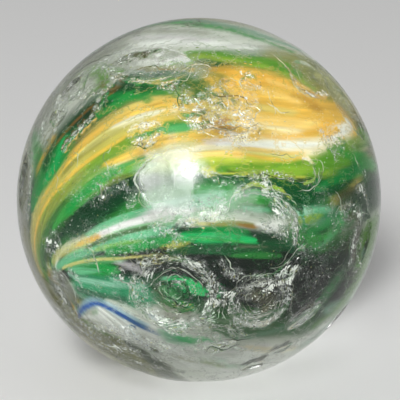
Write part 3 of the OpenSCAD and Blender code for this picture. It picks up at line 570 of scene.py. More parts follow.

# Hairline cracks and edges: pale strips, partly cracks and partly painted glints, and dark strips of painted
# shade. Half width, below zero for a dark one of painted shade, then (east, north)
CRACKS_GLINTS_AND_SHADE = [
    # pale lines, partly hairline cracks and partly painted glints along the edges of marks
    (0.5, [(-11, 14), (-15, 12), (-18, 9), (-19, 6), (-19, 3), (-18, -1), (-16, -3)]),
    (0.2, [(-15, 10), (-17, 7), (-17, 4), (-16, 1)]),
    (0.26, [(-45, 16), (-42, 15), (-41, 12), (-41, 9)]),
    (0.26, [(-28, 18), (-30, 15), (-30, 12), (-29, 9)]),
    (0.55, [(-33, 6), (-32, 4), (-31, 2), (-30, 0)]),
    (0.45, [(-61, 37), (-60, 35), (-56, 33), (-51, 31)]),
    (0.3, [(-30, 40), (-23, 40), (-16, 42), (-12, 43)]),
    (0.3, [(-8, 43), (-4, 45), (0, 46), (4, 45), (3, 41), (0, 39)]),
    (0.4, [(-39, -13), (-37, -15), (-35, -18), (-35, -21), (-36, -24)]),
    (0.45, [(-30, -23), (-28, -25), (-26, -26), (-23, -27)]),
    (0.5, [(-31, -43), (-31, -45), (-29, -46)]),
    (0.3, [(-23, -26), (-24, -30), (-23, -34), (-21, -37), (-17, -39)]),
    (0.3, [(-19, -22), (-18, -20), (-16, -18), (-12, -17)]),
    (0.26, [(-18, -33), (-17, -36), (-13, -38), (-8, -38)]),
    (0.3, [(8, -16), (10, -19), (12, -22)]),
    (0.25, [(37, -13), (34, -16), (31, -19), (28, -21), (24, -22)]),
    (0.3, [(15, -27), (20, -27), (25, -26), (29, -25), (33, -23), (36, -20)]),
    (0.26, [(41, 9), (40, 6), (37, 4), (31, 3)]),
    (0.24, [(36, 11), (38, 12), (40, 12), (41, 10), (40, 7), (38, 5)]),
    (0.2, [(37, 10), (38, 9), (38, 7)]),
    (0.5, [(40, 52), (42, 47), (42, 43), (40, 39), (42, 36), (47, 35), (54, 35), (60, 35)]),
    (0.24, [(51, 46), (49, 43), (48, 40)]),
    (0.24, [(57, 45), (57, 42), (58, 39)]),
    (0.36, [(24, 32), (26, 30), (29, 28), (33, 27)]),
    (0.3, [(46, 3), (48, 1), (49, -2), (52, -5)]),
    (0.3, [(54, 1), (51, -1), (49, -2), (46, -4)]),
    (0.34, [(3, -54), (6, -53), (9, -52), (13, -51), (18, -52)]),
    (0.2, [(27, 37), (27, 33), (26, 29), (26, 26)]),
    (0.3, [(14, 29), (15, 31), (18, 31), (20, 29), (19, 26), (17, 25), (14, 26), (13, 28)]),
    (0.34, [(15, 28), (17, 28), (18, 29)]),
    (0.44, [(8, 24), (10, 24), (12, 23)]),
    (0.44, [(-1, 32), (0, 31), (1, 30)]),
    (0.4, [(20, 40), (22, 38), (23, 36)]),
    (0.3, [(9, 22), (10, 20), (13, 19), (16, 20), (18, 22)]),
    (0.24, [(59, 17), (59, 13), (60, 9)]),
    (0.36, [(-57, -21), (-52, -23), (-50, -27), (-51, -31), (-55, -35), (-60, -38)]),
    (0.34, [(-83, 24), (-79, 21), (-77, 18)]),
    (0.34, [(-71, 12), (-68, 8), (-65, 3)]),
    (0.28, [(17, 6), (14, 4), (11, 1), (9, -2), (6, -4)]),
    (0.28, [(20, 6), (23, 4), (25, 2)]),
    (0.2, [(3, 8), (11, 7), (19, 7), (27, 7), (36, 6)]),
    (0.2, [(-52, 12), (-49, 6), (-48, 0)]),
    (0.2, [(20, 14), (26, 13), (33, 14)]),
    # dark lines of painted shade along the edges of marks that turn the light away
    (-0.7, [(30, -64), (34, -61), (38, -59), (43, -57)]),
    (-0.5, [(33, -65), (39, -62), (43, -59)]),
    (-0.5, [(41, -55), (44, -52), (48, -50)]),
    (-0.4, [(43, -56), (47, -53), (50, -51)]),
    (-0.5, [(3, -55), (8, -53), (14, -52), (21, -50)]),
    (-0.4, [(12, -49), (18, -48), (24, -48)]),
    (-0.7, [(-22, 77), (-14, 81), (-2, 79), (1, 73)]),
    (-0.4, [(-17, 72), (-6, 70), (0, 72)]),
    (-0.35, [(2, 8), (9, 6), (17, 7), (26, 7), (34, 6)]),
    (-0.3, [(-23, 18), (-20, 16), (-16, 16), (-13, 19)]),
    (-0.4, [(-1, 27), (3, 24), (8, 22), (14, 22), (20, 24)]),
    (-0.3, [(5, 35), (10, 33), (15, 34), (20, 31)]),
    (-0.4, [(-14, -31), (-11, -34), (-6, -36), (-1, -34)]),
    (-0.3, [(-12, -27), (-7, -24), (-2, -26)]),
    (-0.4, [(58, -8), (57, -13), (58, -18)]),
    (-0.3, [(42, -40), (46, -36), (51, -33)]),
    (-0.3, [(-46, -43), (-38, -47), (-30, -50)]),
    (-0.3, [(-14, 42), (-10, 38), (-7, 33), (-6, 29)]),
    (-0.4, [(-68, 40), (-62, 46), (-54, 50), (-46, 53)]),
    (-0.3, [(-56, 44), (-52, 40), (-50, 36), (-52, 32)]),
    (-0.35, [(-34, 46), (-28, 48), (-20, 48), (-12, 46)]),
    (-0.3, [(-70, -38), (-64, -46), (-56, -52)]),
]


# ---------------------------------------------------------------------------------------------
# Directions and noise
# ---------------------------------------------------------------------------------------------
def unit(v):
    v = np.asarray(v, float)
    return v / np.linalg.norm(v, axis=-1, keepdims=True)


def on_face(east, north, turn=0.0):
    """Outward normal, and the mark's own two tangents, of a place on the skin, in the part's frame."""
    e, n, t = np.radians([east, north, turn])
    lift = np.radians(FACE_LIFT)
    tip = np.array([[1, 0, 0], [0, np.cos(lift), np.sin(lift)], [0, -np.sin(lift), np.cos(lift)]])
    out = tip @ [np.cos(n) * np.sin(e), -np.cos(n) * np.cos(e), np.sin(n)]
    right = tip @ [np.cos(e), np.sin(e), 0]
    up = tip @ [-np.sin(n) * np.sin(e), np.sin(n) * np.cos(e), np.cos(n)]
    return out, np.cos(t) * right + np.sin(t) * up, np.cos(t) * up - np.sin(t) * right


# Where the cane's axis comes out of the worn face
CANE_AXIS = (-59, -28.6)
# The cane's own axes: its pontil end, the way round it starts from, and a quarter turn on
CANE_END = on_face(*CANE_AXIS)[0]
CANE_START = unit(on_face(0, 90)[0] - (on_face(0, 90)[0] @ CANE_END) * CANE_END)
CANE_QUARTER = np.cross(CANE_START, CANE_END)


def on_cane(around, along):
    """Unit directions of places on the cane."""
    p, t = np.radians(around), np.radians(along)
    ring = np.multiply.outer(np.cos(p), CANE_START) + np.multiply.outer(np.sin(p), CANE_QUARTER)
    return np.sin(t)[..., None] * ring + np.multiply.outer(np.cos(t), CANE_END)


def cane_place(dirs):
    """(round, along) of unit directions, in degrees."""
    along = np.degrees(np.arccos(np.clip(dirs @ CANE_END, -1, 1)))
    return np.degrees(np.arctan2(dirs @ CANE_QUARTER, dirs @ CANE_START)), along


def smooth(t):
    t = np.clip(t, 0, 1)
    return t * t * (3 - 2 * t)


# Odd numbers that mix a cell's place and a seed into one random number, and the shifts between them
CELL_FACTORS = (73856093, 19349663, 83492791)
SEED_FACTOR = 40503
MIXING = ((15, 2246822519), (13, 3266489917))
# The lowest 32 and the lowest 16 bits
WHOLE = 0xFFFFFFFF
HALF = 0xFFFF


def chance(cells, seed):
    """A random number from 0 to 1 for each whole-number cell."""
    x, y, z = (cells[..., k] * factor for k, factor in enumerate(CELL_FACTORS))
    n = (x ^ y ^ z ^ (seed * SEED_FACTOR)) & WHOLE
    for shift, factor in MIXING:
        n = ((n ^ (n >> shift)) * factor) & WHOLE
    return ((n ^ (n >> 16)) & HALF) / HALF


def cloud(points, size, seed=0):
    """Smooth noise from 0 to 1, with features about size across."""
    p = np.asarray(points, float) / size
    low = np.floor(p).astype(np.int64)
    f = smooth(p - low)
    total = np.zeros(len(p))
    for k in range(8):
        corner = np.array([k & 1, k >> 1 & 1, k >> 2 & 1])
        weight = np.prod(np.where(corner, f, 1 - f), axis=-1)
        total += weight * chance(low + corner, seed)
    return total


def clouds(points, size, seed=0, octaves=3):
    """Several sizes of noise added up, still from 0 to 1."""
    total, weight, share = 0, 1, 0
    for k in range(octaves):
        total = total + weight * cloud(points, size / 2**k, seed + k)
        share += weight
        weight *= 0.55
    return total / share


def grains(points, size, seed=0):
    """Three random numbers for each point, shared by all the points of one grain."""
    p = np.asarray(points, float) / size
    low = np.floor(p).astype(np.int64)
    first = np.full(len(p), FAR_OFF)
    own = np.zeros((len(p), 3))
    for k in range(27):
        cell = low + np.array([k % 3 - 1, k // 3 % 3 - 1, k // 9 - 1])
        spot = np.stack([chance(cell, seed + j) for j in range(3)], -1)
        far = np.linalg.norm(cell + spot - p, axis=-1)
        nearer = far < first
        first = np.where(nearer, far, first)
        own[nearer] = spot[nearer]
    return own


def spline(points, steps=5):
    """Points of a smooth curve through the given ones, any number of values each."""
    p = np.asarray(points, float)
    p = np.vstack([2 * p[0] - p[1], p, 2 * p[-1] - p[-2]])
    t = np.arange(steps)[:, None] / steps
    out = []
    for a, b, c, d in zip(p, p[1:], p[2:], p[3:]):
        out.append(0.5 * (2 * b + (c - a) * t + (2 * a - 5 * b + 4 * c - d) * t**2
                          + (3 * b - a - 3 * c + d) * t**3))
    return np.vstack(out + [p[-2:-1]])


def stroke(dirs, path, widths):
    """Which directions lie near a path, and their distance to it in half widths."""
    reach = np.radians(np.max(widths)) * 2
    middle = unit(path.mean(0))
    wide = np.max(np.linalg.norm(path - middle, axis=1)) + reach
    near = np.nonzero(np.linalg.norm(dirs - middle, axis=1) < wide)[0]
    d = dirs[near]
    best = np.full(len(near), FAR_OFF)
    for a, b, wa, wb in zip(path, path[1:], widths, widths[1:]):
        run = b - a
        length = np.linalg.norm(run)
        t = np.clip((d - a) @ run / length**2, 0, 1)
        off = d - a - t[:, None] * run
        far = np.linalg.norm(off, axis=1)
        local = np.radians(wa + (wb - wa) * t)
        best = np.minimum(best, far / local)
    keep = best < 2
    return near[keep], best[keep]


def tone(name):
    """A tone's linear colour."""
    c = np.array(TONES[name]) / 255
    return np.where(c <= 0.04045, c / 12.92, ((c + 0.055) / 1.055) ** 2.4)


# ---------------------------------------------------------------------------------------------
# The skin's shape
# ---------------------------------------------------------------------------------------------
# How rough each kind of mark is inside, and how white its rim is, 0 to 1
ROUGHNESS_INSIDE = {"dish": 0.1, "patch": 0.5, "chip": 0.6, "track": 0.5, "scallop": 0.14,
                    "dull": 0.3, "shell": 0.16, "moon": 0.3}
WHITE_RIM = {"dish": 0.3, "patch": 0.25, "chip": 0.4, "track": 0.1, "scallop": 0.3, "dull": 0.15,
             "shell": 0.5, "moon": 0.2}
# Scallops whose floor is dull and streaky
DULL = ("crown", "shoulder", "temple")
# Width of the splintered line round a mark
RIM_LINE = 0.16
# Size of the small facets that a crushed place breaks into
FACET = 0.34


def wander(dirs, shift, seed=40):
    """Directions moved a little along the skin, so that no mark keeps a drawn edge."""
    points = BALL_R * dirs
    moved = np.stack([clouds(points, 0.9, seed + 5 * k) - 0.5 for k in range(3)], -1)
    return unit(dirs + shift / BALL_R * moved)


def bulge(width):
    return BALL_R - math.sqrt(BALL_R**2 - width**2 / 4)


def on_mark(dirs, at):
    """How far out rays run along a mark's own normal, and where they cross it, in millimetres."""
    out, x_way, y_way = on_face(*at)
    return dirs @ out, dirs @ x_way * BALL_R, dirs @ y_way * BALL_R


def hollow_floor(dirs, at, size):
    """Where rays from the centre meet the floor of a scallop, and how far out in it they are, 0 to 1."""
    length, width, hollow = size
    floor = BALL_R - bulge(length) - hollow
    along = (length**2 / 4 + hollow**2) / (2 * hollow)
    deep = BALL_R - bulge(width) - floor
    across = (width**2 / 4 + deep**2) / (2 * deep)
    z, x, y = on_mark(dirs, at)
    return (floor + x**2 / (2 * along) + y**2 / (2 * across)) / z, np.hypot(2 * x / length, 2 * y / width)


def shell_floor(dirs, at, size):
    """The same for a ringed shell: a struck stump, ripples, and a floor that climbs to the rim."""
    rim_d, ring_d, hollow = size
    floor = BALL_R - bulge(rim_d) - hollow
    run = (rim_d - ring_d) / 2 / RIPPLES
    drop = hollow / RIPPLES / 4

    def height(r):
        return floor + hollow * ((2 * r - ring_d) / (rim_d - ring_d)) ** 2

    start = ring_d / 2
    rs, hs = [0, start * 0.8], [height(start) + RING_STEP + drop, height(start) + RING_STEP]
    for k in range(RIPPLES):
        for share, lift in ((0, -drop), (0.78, drop)):
            rs.append(start + (k + share) * run)
            hs.append(height(rs[-1]) + lift)
    rs += [rim_d / 2, rim_d / 2 + 1]
    hs += [BALL_R - bulge(rim_d), BALL_R + 1]
    z, x, y = on_mark(dirs, at)
    r = np.hypot(x, y)
    return np.interp(r, rs, hs) / z, 2 * r / rim_d


def moon_floor(dirs, at, size):
    """The same for a moon's groove: how far across the groove the rays are, 0 to 1."""
    width, sweep, groove, depth = size
    _, x, y = on_mark(dirs, at)
    r = np.hypot(x, y)
    angle = np.degrees(np.arctan2(y, x)) % 360
    over = np.where(angle <= sweep, 0, np.minimum(angle - sweep, 360 - angle))
    off = np.hypot(r - width / 2, np.radians(over) * width / 2) / (groove / 2)
    return BALL_R - depth * (1 - off**2), off


def all_marks():
    """Every mark: its floor's shape, place, sizes, kind, and the half width that its rim is drawn to."""
    found = [(hollow_floor, at, size, "dull" if name in DULL else "scallop", size[1] / 2)
             for name, (at, size) in SCALLOPS.items()]
    dishes = [(at, *size, "dish") for at, size in DISHES.values()]
    dishes += [((e, n), w, h, "patch") for e, n, w, h in CRUSHED_PATCH]
    for e, n, w, h in ROUGH_CHIPS:
        dishes.append(((e, n), w, h, "chip"))
        apart = math.degrees(w * CHIP_STEP / BALL_R)
        for turn in np.radians(CHIP_TURNS):
            place = (e + apart * math.cos(turn), n + apart * math.sin(turn))
            dishes.append((place, w * CHIP_SHARE, h * CHIP_SHARE, "chip"))
    for a, b in zip(TRACK, TRACK[1:]):
        for t in (0, 0.5):
            place = (a[0] + (b[0] - a[0]) * t, a[1] + (b[1] - a[1]) * t)
            dishes.append((place, *TRACK_BITE, "track"))
    found += [(hollow_floor, at, (w, w, h), kind, w / 2) for at, w, h, kind in dishes]
    found += [(shell_floor, at, size, "shell", size[0] / 2) for at, size in SHELLS.values()]
    found += [(moon_floor, at, size, "moon", size[2] / 2) for at, size in MOONS.values()]
    return found


def skin(dirs):
    """Radius of the worn skin along each direction, how crushed it is there, and its rim lines."""
    radius = np.full(len(dirs), BALL_R)
    crush, rim = np.zeros(len(dirs)), np.zeros(len(dirs))
    dirs = wander(dirs, 0.55)
    broken = smooth(3 * clouds(BALL_R * dirs, 0.9, 77, 2) - 0.9)
    for floor_of, at, size, kind, half in all_marks():
        reach = math.cos((size[0] / 2 + 1) / BALL_R)
        near = np.nonzero(dirs @ on_face(*at)[0] > reach)[0]
        if not len(near):
            continue
        floor, out = floor_of(dirs[near], at, size)
        rough = np.full(len(near), ROUGHNESS_INSIDE[kind])
        if kind == "shell":
            rough = rough + 0.8 * smooth((out - 0.68) / 0.2) * (0.3 + 0.7 * broken[near])
        cut = (floor < radius[near]) & (out < 1.05)
        crush[near] = np.where(cut, np.maximum(crush[near], rough), crush[near])
        line = np.exp(-(((out - 1) * half / RIM_LINE) ** 2)) * WHITE_RIM[kind] * broken[near]
        rim[near] = np.maximum(rim[near], line)
        radius[near] = np.minimum(radius[near], floor)
    return radius, np.minimum(crush, 1), rim


def crumble(dirs, crush):
    """Depth of the small facets that a crushed place breaks into."""
    points = dirs * BALL_R
    own = grains(points, FACET, 11)
    tilt = np.einsum("ij,ij->i", own - 0.5, (points / FACET) % 1 - 0.5)
    return crush * (0.04 * own[:, 0] + 0.06 * tilt + 0.04 * clouds(points, 0.3, 21, 2))


def skin_path(points, steps=4):
    """Unit directions and half widths of a smooth path over the skin."""
    curve = spline(points, steps)
    return np.array([on_face(e, n)[0] for e, n in curve[:, :2]]), curve[:, 2]


def spread(dirs, table, seed):
    """How thick a table's soft places lie along each direction, 0 to 1."""
    thick = np.zeros(len(dirs))
    moved = wander(dirs, 1.6, seed)
    for share, points in table:
        if len(points) == 1:
            points = [points[0], (points[0][0] + 0.1, *points[0][1:])]
        path, widths = skin_path(points)
        near, off = stroke(moved, path, widths)
        thick[near] = np.maximum(thick[near], share * smooth((1.6 - off) / 1.2))
    return thick * (0.6 + 0.6 * clouds(dirs * BALL_R, 0.7, seed + 7))


def wear(dirs, crush, rim):
    """How thickly powdered glass lies along each direction, 0 to 1."""
    lay = np.maximum(0.8 * crush, rim)
    moved = wander(dirs, 1.1, 60)
    for thick, points in WEAR:
        path, widths = skin_path(points)
        near, off = stroke(moved, path, widths * 1.25)
        lay[near] = np.maximum(lay[near], thick * smooth(1.5 - off))
    patchy = clouds(dirs * BALL_R, 0.7, 31)
    return np.clip(lay * smooth(2.8 * patchy - 0.55), 0, 1)


# ---------------------------------------------------------------------------------------------
# Meshes
# ---------------------------------------------------------------------------------------------
def as_array(vertices):
    return np.array([v.co[:] for v in vertices], float)


def set_points(mesh, points):
    mesh.vertices.foreach_set("co", np.asarray(points, np.float32).ravel())
    mesh.update()


def give_values(mesh, name, values):
    """Stores one number a vertex on the mesh."""
    layer = mesh.attributes.new(name, "FLOAT", "POINT")
    layer.data.foreach_set("value", np.asarray(values, np.float32))


def give_colours(mesh, name, colours):
    layer = mesh.color_attributes.new(name, "FLOAT_COLOR", "POINT")
    rgba = np.ones((len(colours), 4), np.float32)
    rgba[:, :3] = colours
    layer.data.foreach_set("color", rgba.ravel())


def new_piece(name, bm, material, smooth_shaded=True):
    """A piece made from a finished mesh, with its material."""
    mesh = bpy.data.meshes.new(name)
    bm.to_mesh(mesh)
    bm.free()
    if smooth_shaded:
        mesh.shade_smooth()
    piece = bpy.data.objects.new(name, mesh)
    bpy.context.scene.collection.objects.link(piece)
    piece.data.materials.append(material)
    return piece


def keep_inside(points):
    """Points pulled in so that none comes out through the unbroken skin."""
    far = np.linalg.norm(points, axis=1, keepdims=True)
    return points * np.minimum(1, (BALL_R - SPLINTER_MARGIN) / far)


def points_of(piece):
    flat = np.empty(len(piece.data.vertices) * 3, np.float32)
    piece.data.vertices.foreach_get("co", flat)
    return flat.reshape(-1, 3).astype(float)


def check_size(piece):
    triangles = sum(len(p.vertices) - 2 for p in piece.data.polygons)
    if triangles >= MAX_TRIANGLES:
        raise RuntimeError(f"{piece.name} has {triangles} triangles")
    print(piece.name, triangles, "triangles")


# ---------------------------------------------------------------------------------------------
# Materials
# ---------------------------------------------------------------------------------------------
class Nodes:
    """A short way to add and join the nodes of one material or group."""

    def __init__(self, tree):
        self.tree = tree

    def add(self, kind, **settings):
        node = self.tree.nodes.new(kind)
        for name, value in settings.items():
            setattr(node, name, value)
        return node

    def link(self, source, target):
        self.tree.links.new(source, target)

    def math(self, operation, a, b=None, clamp=False):
        node = self.add("ShaderNodeMath", operation=operation, use_clamp=clamp)
        for socket, value in zip(node.inputs, (a, b)):
            if isinstance(value, bpy.types.NodeSocket):
                self.link(value, socket)
            elif value is not None:
                socket.default_value = value
        return node.outputs[0]

    def noise(self, vector, scale, detail=3.0, rough=0.5):
        node = self.add("ShaderNodeTexNoise")
        node.inputs["Scale"].default_value = scale
        node.inputs["Detail"].default_value = detail
        node.inputs["Roughness"].default_value = rough
        self.link(vector, node.inputs["Vector"])
        return node.outputs["Fac"]

    def ramp(self, value, low, high):
        node = self.add("ShaderNodeMapRange", interpolation_type="SMOOTHSTEP")
        node.inputs["From Min"].default_value = low
        node.inputs["From Max"].default_value = high
        self.link(value, node.inputs["Value"])
        return node.outputs["Result"]

    def veins(self, vector, scale, width):
        """Thin branching lines, 1 on the line and 0 beside it."""
        off = self.math("ABSOLUTE", self.minus(self.noise(vector, scale, 5, 0.62), 0.5))
        return self.minus(1.0, self.ramp(off, width * 0.15, width))

    def dots(self, vector, scale, low, high):
        """Small round dots, 1 in the middle of each."""
        node = self.add("ShaderNodeTexVoronoi", feature="F1")
        node.inputs["Scale"].default_value = scale
        self.link(vector, node.inputs["Vector"])
        return self.minus(1.0, self.ramp(node.outputs["Distance"], low, high))

    def mix(self, factor, a, b):
        node = self.add("ShaderNodeMix", data_type="RGBA")
        self.link(factor, node.inputs[0])
        for socket, value in zip(node.inputs[6:8], (a, b)):
            if isinstance(value, bpy.types.NodeSocket):
                self.link(value, socket)
            else:
                socket.default_value = (*value, 1)
        return node.outputs[2]

    def plus(self, a, b, clamp=False):
        return self.math("ADD", a, b, clamp)

    def minus(self, a, b, clamp=False):
        return self.math("SUBTRACT", a, b, clamp)

    def times(self, a, b):
        return self.math("MULTIPLY", a, b)

    def scaled(self, colour, factor):
        node = self.add("ShaderNodeVectorMath", operation="SCALE")
        self.link(colour, node.inputs[0])
        self.link(factor, node.inputs["Scale"])
        return node.outputs["Vector"]

    def bump(self, height, strength, distance):
        """A normal that makes the surface look raised by height, up to distance in metres."""
        node = self.add("ShaderNodeBump")
        node.inputs["Strength"].default_value = strength
        node.inputs["Distance"].default_value = distance
        self.link(height, node.inputs["Height"])
        return node.outputs["Normal"]

    def value(self, name):
        return self.add("ShaderNodeAttribute", attribute_name=name).outputs["Fac"]

    def place(self):
        return self.add("ShaderNodeTexCoord").outputs["Object"]


def new_material(name):
    """A material with its Principled shader, output and node helper."""
    material = bpy.data.materials.new(name)
    material.use_nodes = True
    nodes = Nodes(material.node_tree)
    shader = material.node_tree.nodes["Principled BSDF"]
    output = material.node_tree.nodes["Material Output"]
    return material, nodes, shader, output


def glass_material(settings):
    """Clear worn glass, pitted and scratched, that lets lamp light through to the cane."""
    material, nodes, shader, output = new_material("worn_glass")
    shader.inputs["Base Color"].default_value = (*settings.tint, 1)
    shader.inputs["Transmission Weight"].default_value = 1
    shader.inputs["IOR"].default_value = settings.ior
    shader.inputs["Specular Tint"].default_value = (settings.sheen,) * 3 + (1,)
    place, crush = nodes.place(), nodes.value("crush")
    patchy = nodes.ramp(nodes.noise(place, 300, 2), 0.4, 0.62)
    pits = nodes.times(nodes.dots(place, 1500, 0.05, 0.24), patchy)
    scratches = nodes.times(nodes.veins(place, 500, 0.012), 0.5)
    crumbs = nodes.times(nodes.noise(place, 5200, 3, 0.6), nodes.times(crush, 2.4))
    height = nodes.minus(crumbs, nodes.plus(pits, scratches))
    haze = nodes.times(nodes.noise(place, 420, 4), 0.06)
    rough = nodes.times(crush, settings.crushed_roughness)
    rough = nodes.plus(nodes.plus(haze, settings.smooth_roughness), rough)
    nodes.link(rough, shader.inputs["Roughness"])
    nodes.link(nodes.bump(height, 0.7, 0.00003), shader.inputs["Normal"])
    clear = nodes.add("ShaderNodeBsdfTransparent")
    mix = nodes.add("ShaderNodeMixShader")
    nodes.link(nodes.add("ShaderNodeLightPath").outputs["Is Shadow Ray"], mix.inputs["Fac"])
    nodes.link(shader.outputs["BSDF"], mix.inputs[1])
    nodes.link(clear.outputs["BSDF"], mix.inputs[2])
    nodes.link(mix.outputs["Shader"], output.inputs["Surface"])
    return material


def cane_material():
    """Coloured strands, with finer fibres along them than the mesh can hold."""
    material, nodes, shader, _ = new_material("cane_strands")
    colour = nodes.add("ShaderNodeVertexColor", layer_name="strands").outputs["Color"]
    place = nodes.add("ShaderNodeUVMap", uv_map="fibres").outputs["UV"]
    stretch = nodes.add("ShaderNodeMapping")
    stretch.inputs["Scale"].default_value = (110, 5, 1)
    nodes.link(place, stretch.inputs["Vector"])
    fibre = nodes.noise(stretch.outputs["Vector"], 3, 5, 0.65)
    shade = nodes.add("ShaderNodeMapRange")
    shade.inputs["From Min"].default_value = 0.25
    shade.inputs["From Max"].default_value = 0.75
    shade.inputs["To Min"].default_value = 0.82
    shade.inputs["To Max"].default_value = 1.16
    nodes.link(fibre, shade.inputs["Value"])
    nodes.link(nodes.scaled(colour, shade.outputs["Result"]), shader.inputs["Base Color"])
    shader.inputs["Roughness"].default_value = 0.8
    shader.inputs["Specular IOR Level"].default_value = 0.1
    nodes.link(nodes.bump(fibre, 0.5, 0.00006), shader.inputs["Normal"])
    return material


def frost_material(settings):
    """Powdered glass, veins and specks just under the skin, thin enough to see through, with a painted glow
    round the lamp's highlight where the veils lie and painted shade where the shade value lies.
    """
    material, nodes, shader, _ = new_material("crushed_frost_glow_and_shade")
    place, frost = nodes.place(), nodes.value("frost")
    veil_and_glow, shade = nodes.value("veil_and_glow"), nodes.value("shade")
    patchy = nodes.ramp(nodes.noise(place, 300, 4, 0.6), 0.38, 0.66)
    grain = nodes.ramp(nodes.noise(place, 4600, 3, 0.7), 0.48, 0.62)
    veins = nodes.veins(place, 2100, 0.04)
    hairs = nodes.times(nodes.veins(place, 420, 0.006), 0.2)
    specks = nodes.times(nodes.dots(place, 1900, 0.04, 0.12), 0.9)
    body = nodes.plus(nodes.times(grain, 0.65), nodes.times(veins, 0.3))
    body = nodes.times(frost, nodes.plus(body, 0.06))
    film = nodes.plus(nodes.plus(specks, hairs), settings.haze)
    # the veils, which hold the painted glow, and the painted shade thicken the film
    film = nodes.plus(nodes.times(film, patchy), nodes.plus(veil_and_glow, shade))
    nodes.link(nodes.plus(body, film, clamp=True), shader.inputs["Alpha"])
    pale = nodes.ramp(nodes.noise(place, 2100, 2), 0.36, 0.48)
    # painted glow: the veils whiten the powder round the lamp's highlight
    pale = nodes.plus(pale, nodes.times(veil_and_glow, 3.0), clamp=True)
    # painted shade: the shade value darkens the powder towards the grime and shade tone
    pale = nodes.minus(pale, nodes.times(shade, 3.0), clamp=True)
    nodes.link(nodes.mix(pale, settings.grime_and_shade_tone, settings.frost_tone), shader.inputs["Base Color"])
    shader.inputs["Roughness"].default_value = 0.5
    return material


def splinter_material():
    """Splinters and cracks of broken glass, each in its own tone, which also holds painted glints and painted
    shade.
    """
    material, nodes, shader, _ = new_material("splinters_glints_and_shade")
    colour = nodes.add("ShaderNodeVertexColor", layer_name="tone").outputs["Color"]
    grain = nodes.ramp(nodes.noise(nodes.place(), 3000, 2), 0.3, 0.5)
    level = nodes.plus(nodes.times(grain, 0.4), 0.65)
    nodes.link(nodes.scaled(colour, level), shader.inputs["Base Color"])
    shader.inputs["Roughness"].default_value = 0.2
    return material


# ---------------------------------------------------------------------------------------------
# Settings
# ---------------------------------------------------------------------------------------------
class GlassSettings(bpy.types.PropertyGroup):
    """The clear glass."""

    tint: FloatVectorProperty(
        name="Tint", description="Colour of the clear glass", subtype="COLOR", min=0, max=1,
        default=(0.96, 0.98, 0.96))
    ior: FloatProperty(
        name="IOR", description="How strongly the glass bends light", min=1.3, max=1.8, default=1.5)
    sheen: FloatProperty(
        name="Sheen", description="How much of the room the skin mirrors, against new glass",
        subtype="FACTOR", min=0, max=1, default=0.5)
    smooth_roughness: FloatProperty(
        name="Skin roughness", description="Roughness of the unbroken skin", subtype="FACTOR",
        min=0, max=1, default=0.1)
    crushed_roughness: FloatProperty(
        name="Crushed roughness", description="Extra roughness where the glass is crushed",
        subtype="FACTOR", min=0, max=1, default=0.1)


class WearSettings(bpy.types.PropertyGroup):
    """Powdered and splintered glass in the worn skin."""

    haze: FloatProperty(
        name="Haze", description="How much of the light the film of fine wear takes",
        subtype="FACTOR", min=0, max=1, default=0.006)
    frost_tone: FloatVectorProperty(
        name="Frost", description="Colour of powdered glass", subtype="COLOR", min=0, max=1,
        default=(0.62, 0.65, 0.62))
    # Also the colour that the painted shade darkens the powder to, where a mark turns the light away
    grime_and_shade_tone: FloatVectorProperty(
        name="Grime", description="Colour of the dark specks in the powder", subtype="COLOR",
        min=0, max=1, default=(0.1, 0.1, 0.06))
    crumbs: IntProperty(
        name="Crumbs", description="Places tried for a crumb, all over the ball", min=1000,
        max=400000, default=240000)
    crumb_size: FloatProperty(
        name="Crumb size", description="Scale of the crumbs, before they are drawn out",
        unit="LENGTH", min=0.00002, max=0.001, default=0.00015)
    see_through: FloatProperty(
        name="See-through", description="How much of the cane's colour a splinter takes on",
        subtype="FACTOR", min=0, max=1, default=0.3)
    crack_step: FloatProperty(
        name="Crack step", description="Length of one facet along a crack", unit="LENGTH",
        min=0.00002, max=0.001, default=0.00009)


class CaneSettings(bpy.types.PropertyGroup):
    """The coloured cane inside the ball."""

    waist: FloatProperty(
        name="Waist", description="Half the cane's width as a share of the ball's radius",
        subtype="FACTOR", min=0.3, max=0.9, default=0.63)
    reach: FloatProperty(
        name="Reach", description="Half the cane's length as a share of the ball's radius",
        subtype="FACTOR", min=0.5, max=0.99, default=0.98)
    far_side: FloatProperty(
        name="Far side", description="How much fuller the cane is on the side away from the worn face",
        subtype="FACTOR", min=0, max=0.2, default=0.13)
    ribs: FloatProperty(
        name="Ribs", description="Depth of the furrows between strands", unit="LENGTH", min=0,
        max=0.001, default=0.00016)
    facets_round: IntProperty(
        name="Facets round", description="Facets round the cane", min=64, max=1200, default=830)
    facets_along: IntProperty(
        name="Facets along", description="Facets along the cane", min=32, max=160, default=118)


class StageSettings(bpy.types.PropertyGroup):
    """Floor, lamp and camera."""

    floor_tone: FloatVectorProperty(
        name="Floor", description="Colour of the floor", subtype="COLOR", min=0, max=1,
        default=(0.86, 0.86, 0.85))
    lamp_power: FloatProperty(
        name="Lamp", description="Power of the soft lamp", unit="POWER", min=0, default=1.42)
    lamp_radius: FloatProperty(
        name="Lamp radius", description="Radius of the soft lamp", unit="LENGTH", min=0.01,
        default=0.09)
    sky: FloatProperty(
        name="Room light", description="Strength of the even light of the room", min=0, default=0.27)
    view_distance: FloatProperty(
        name="Camera distance", description="From the ball's centre to the camera", unit="LENGTH",
        min=0.1, default=0.25)


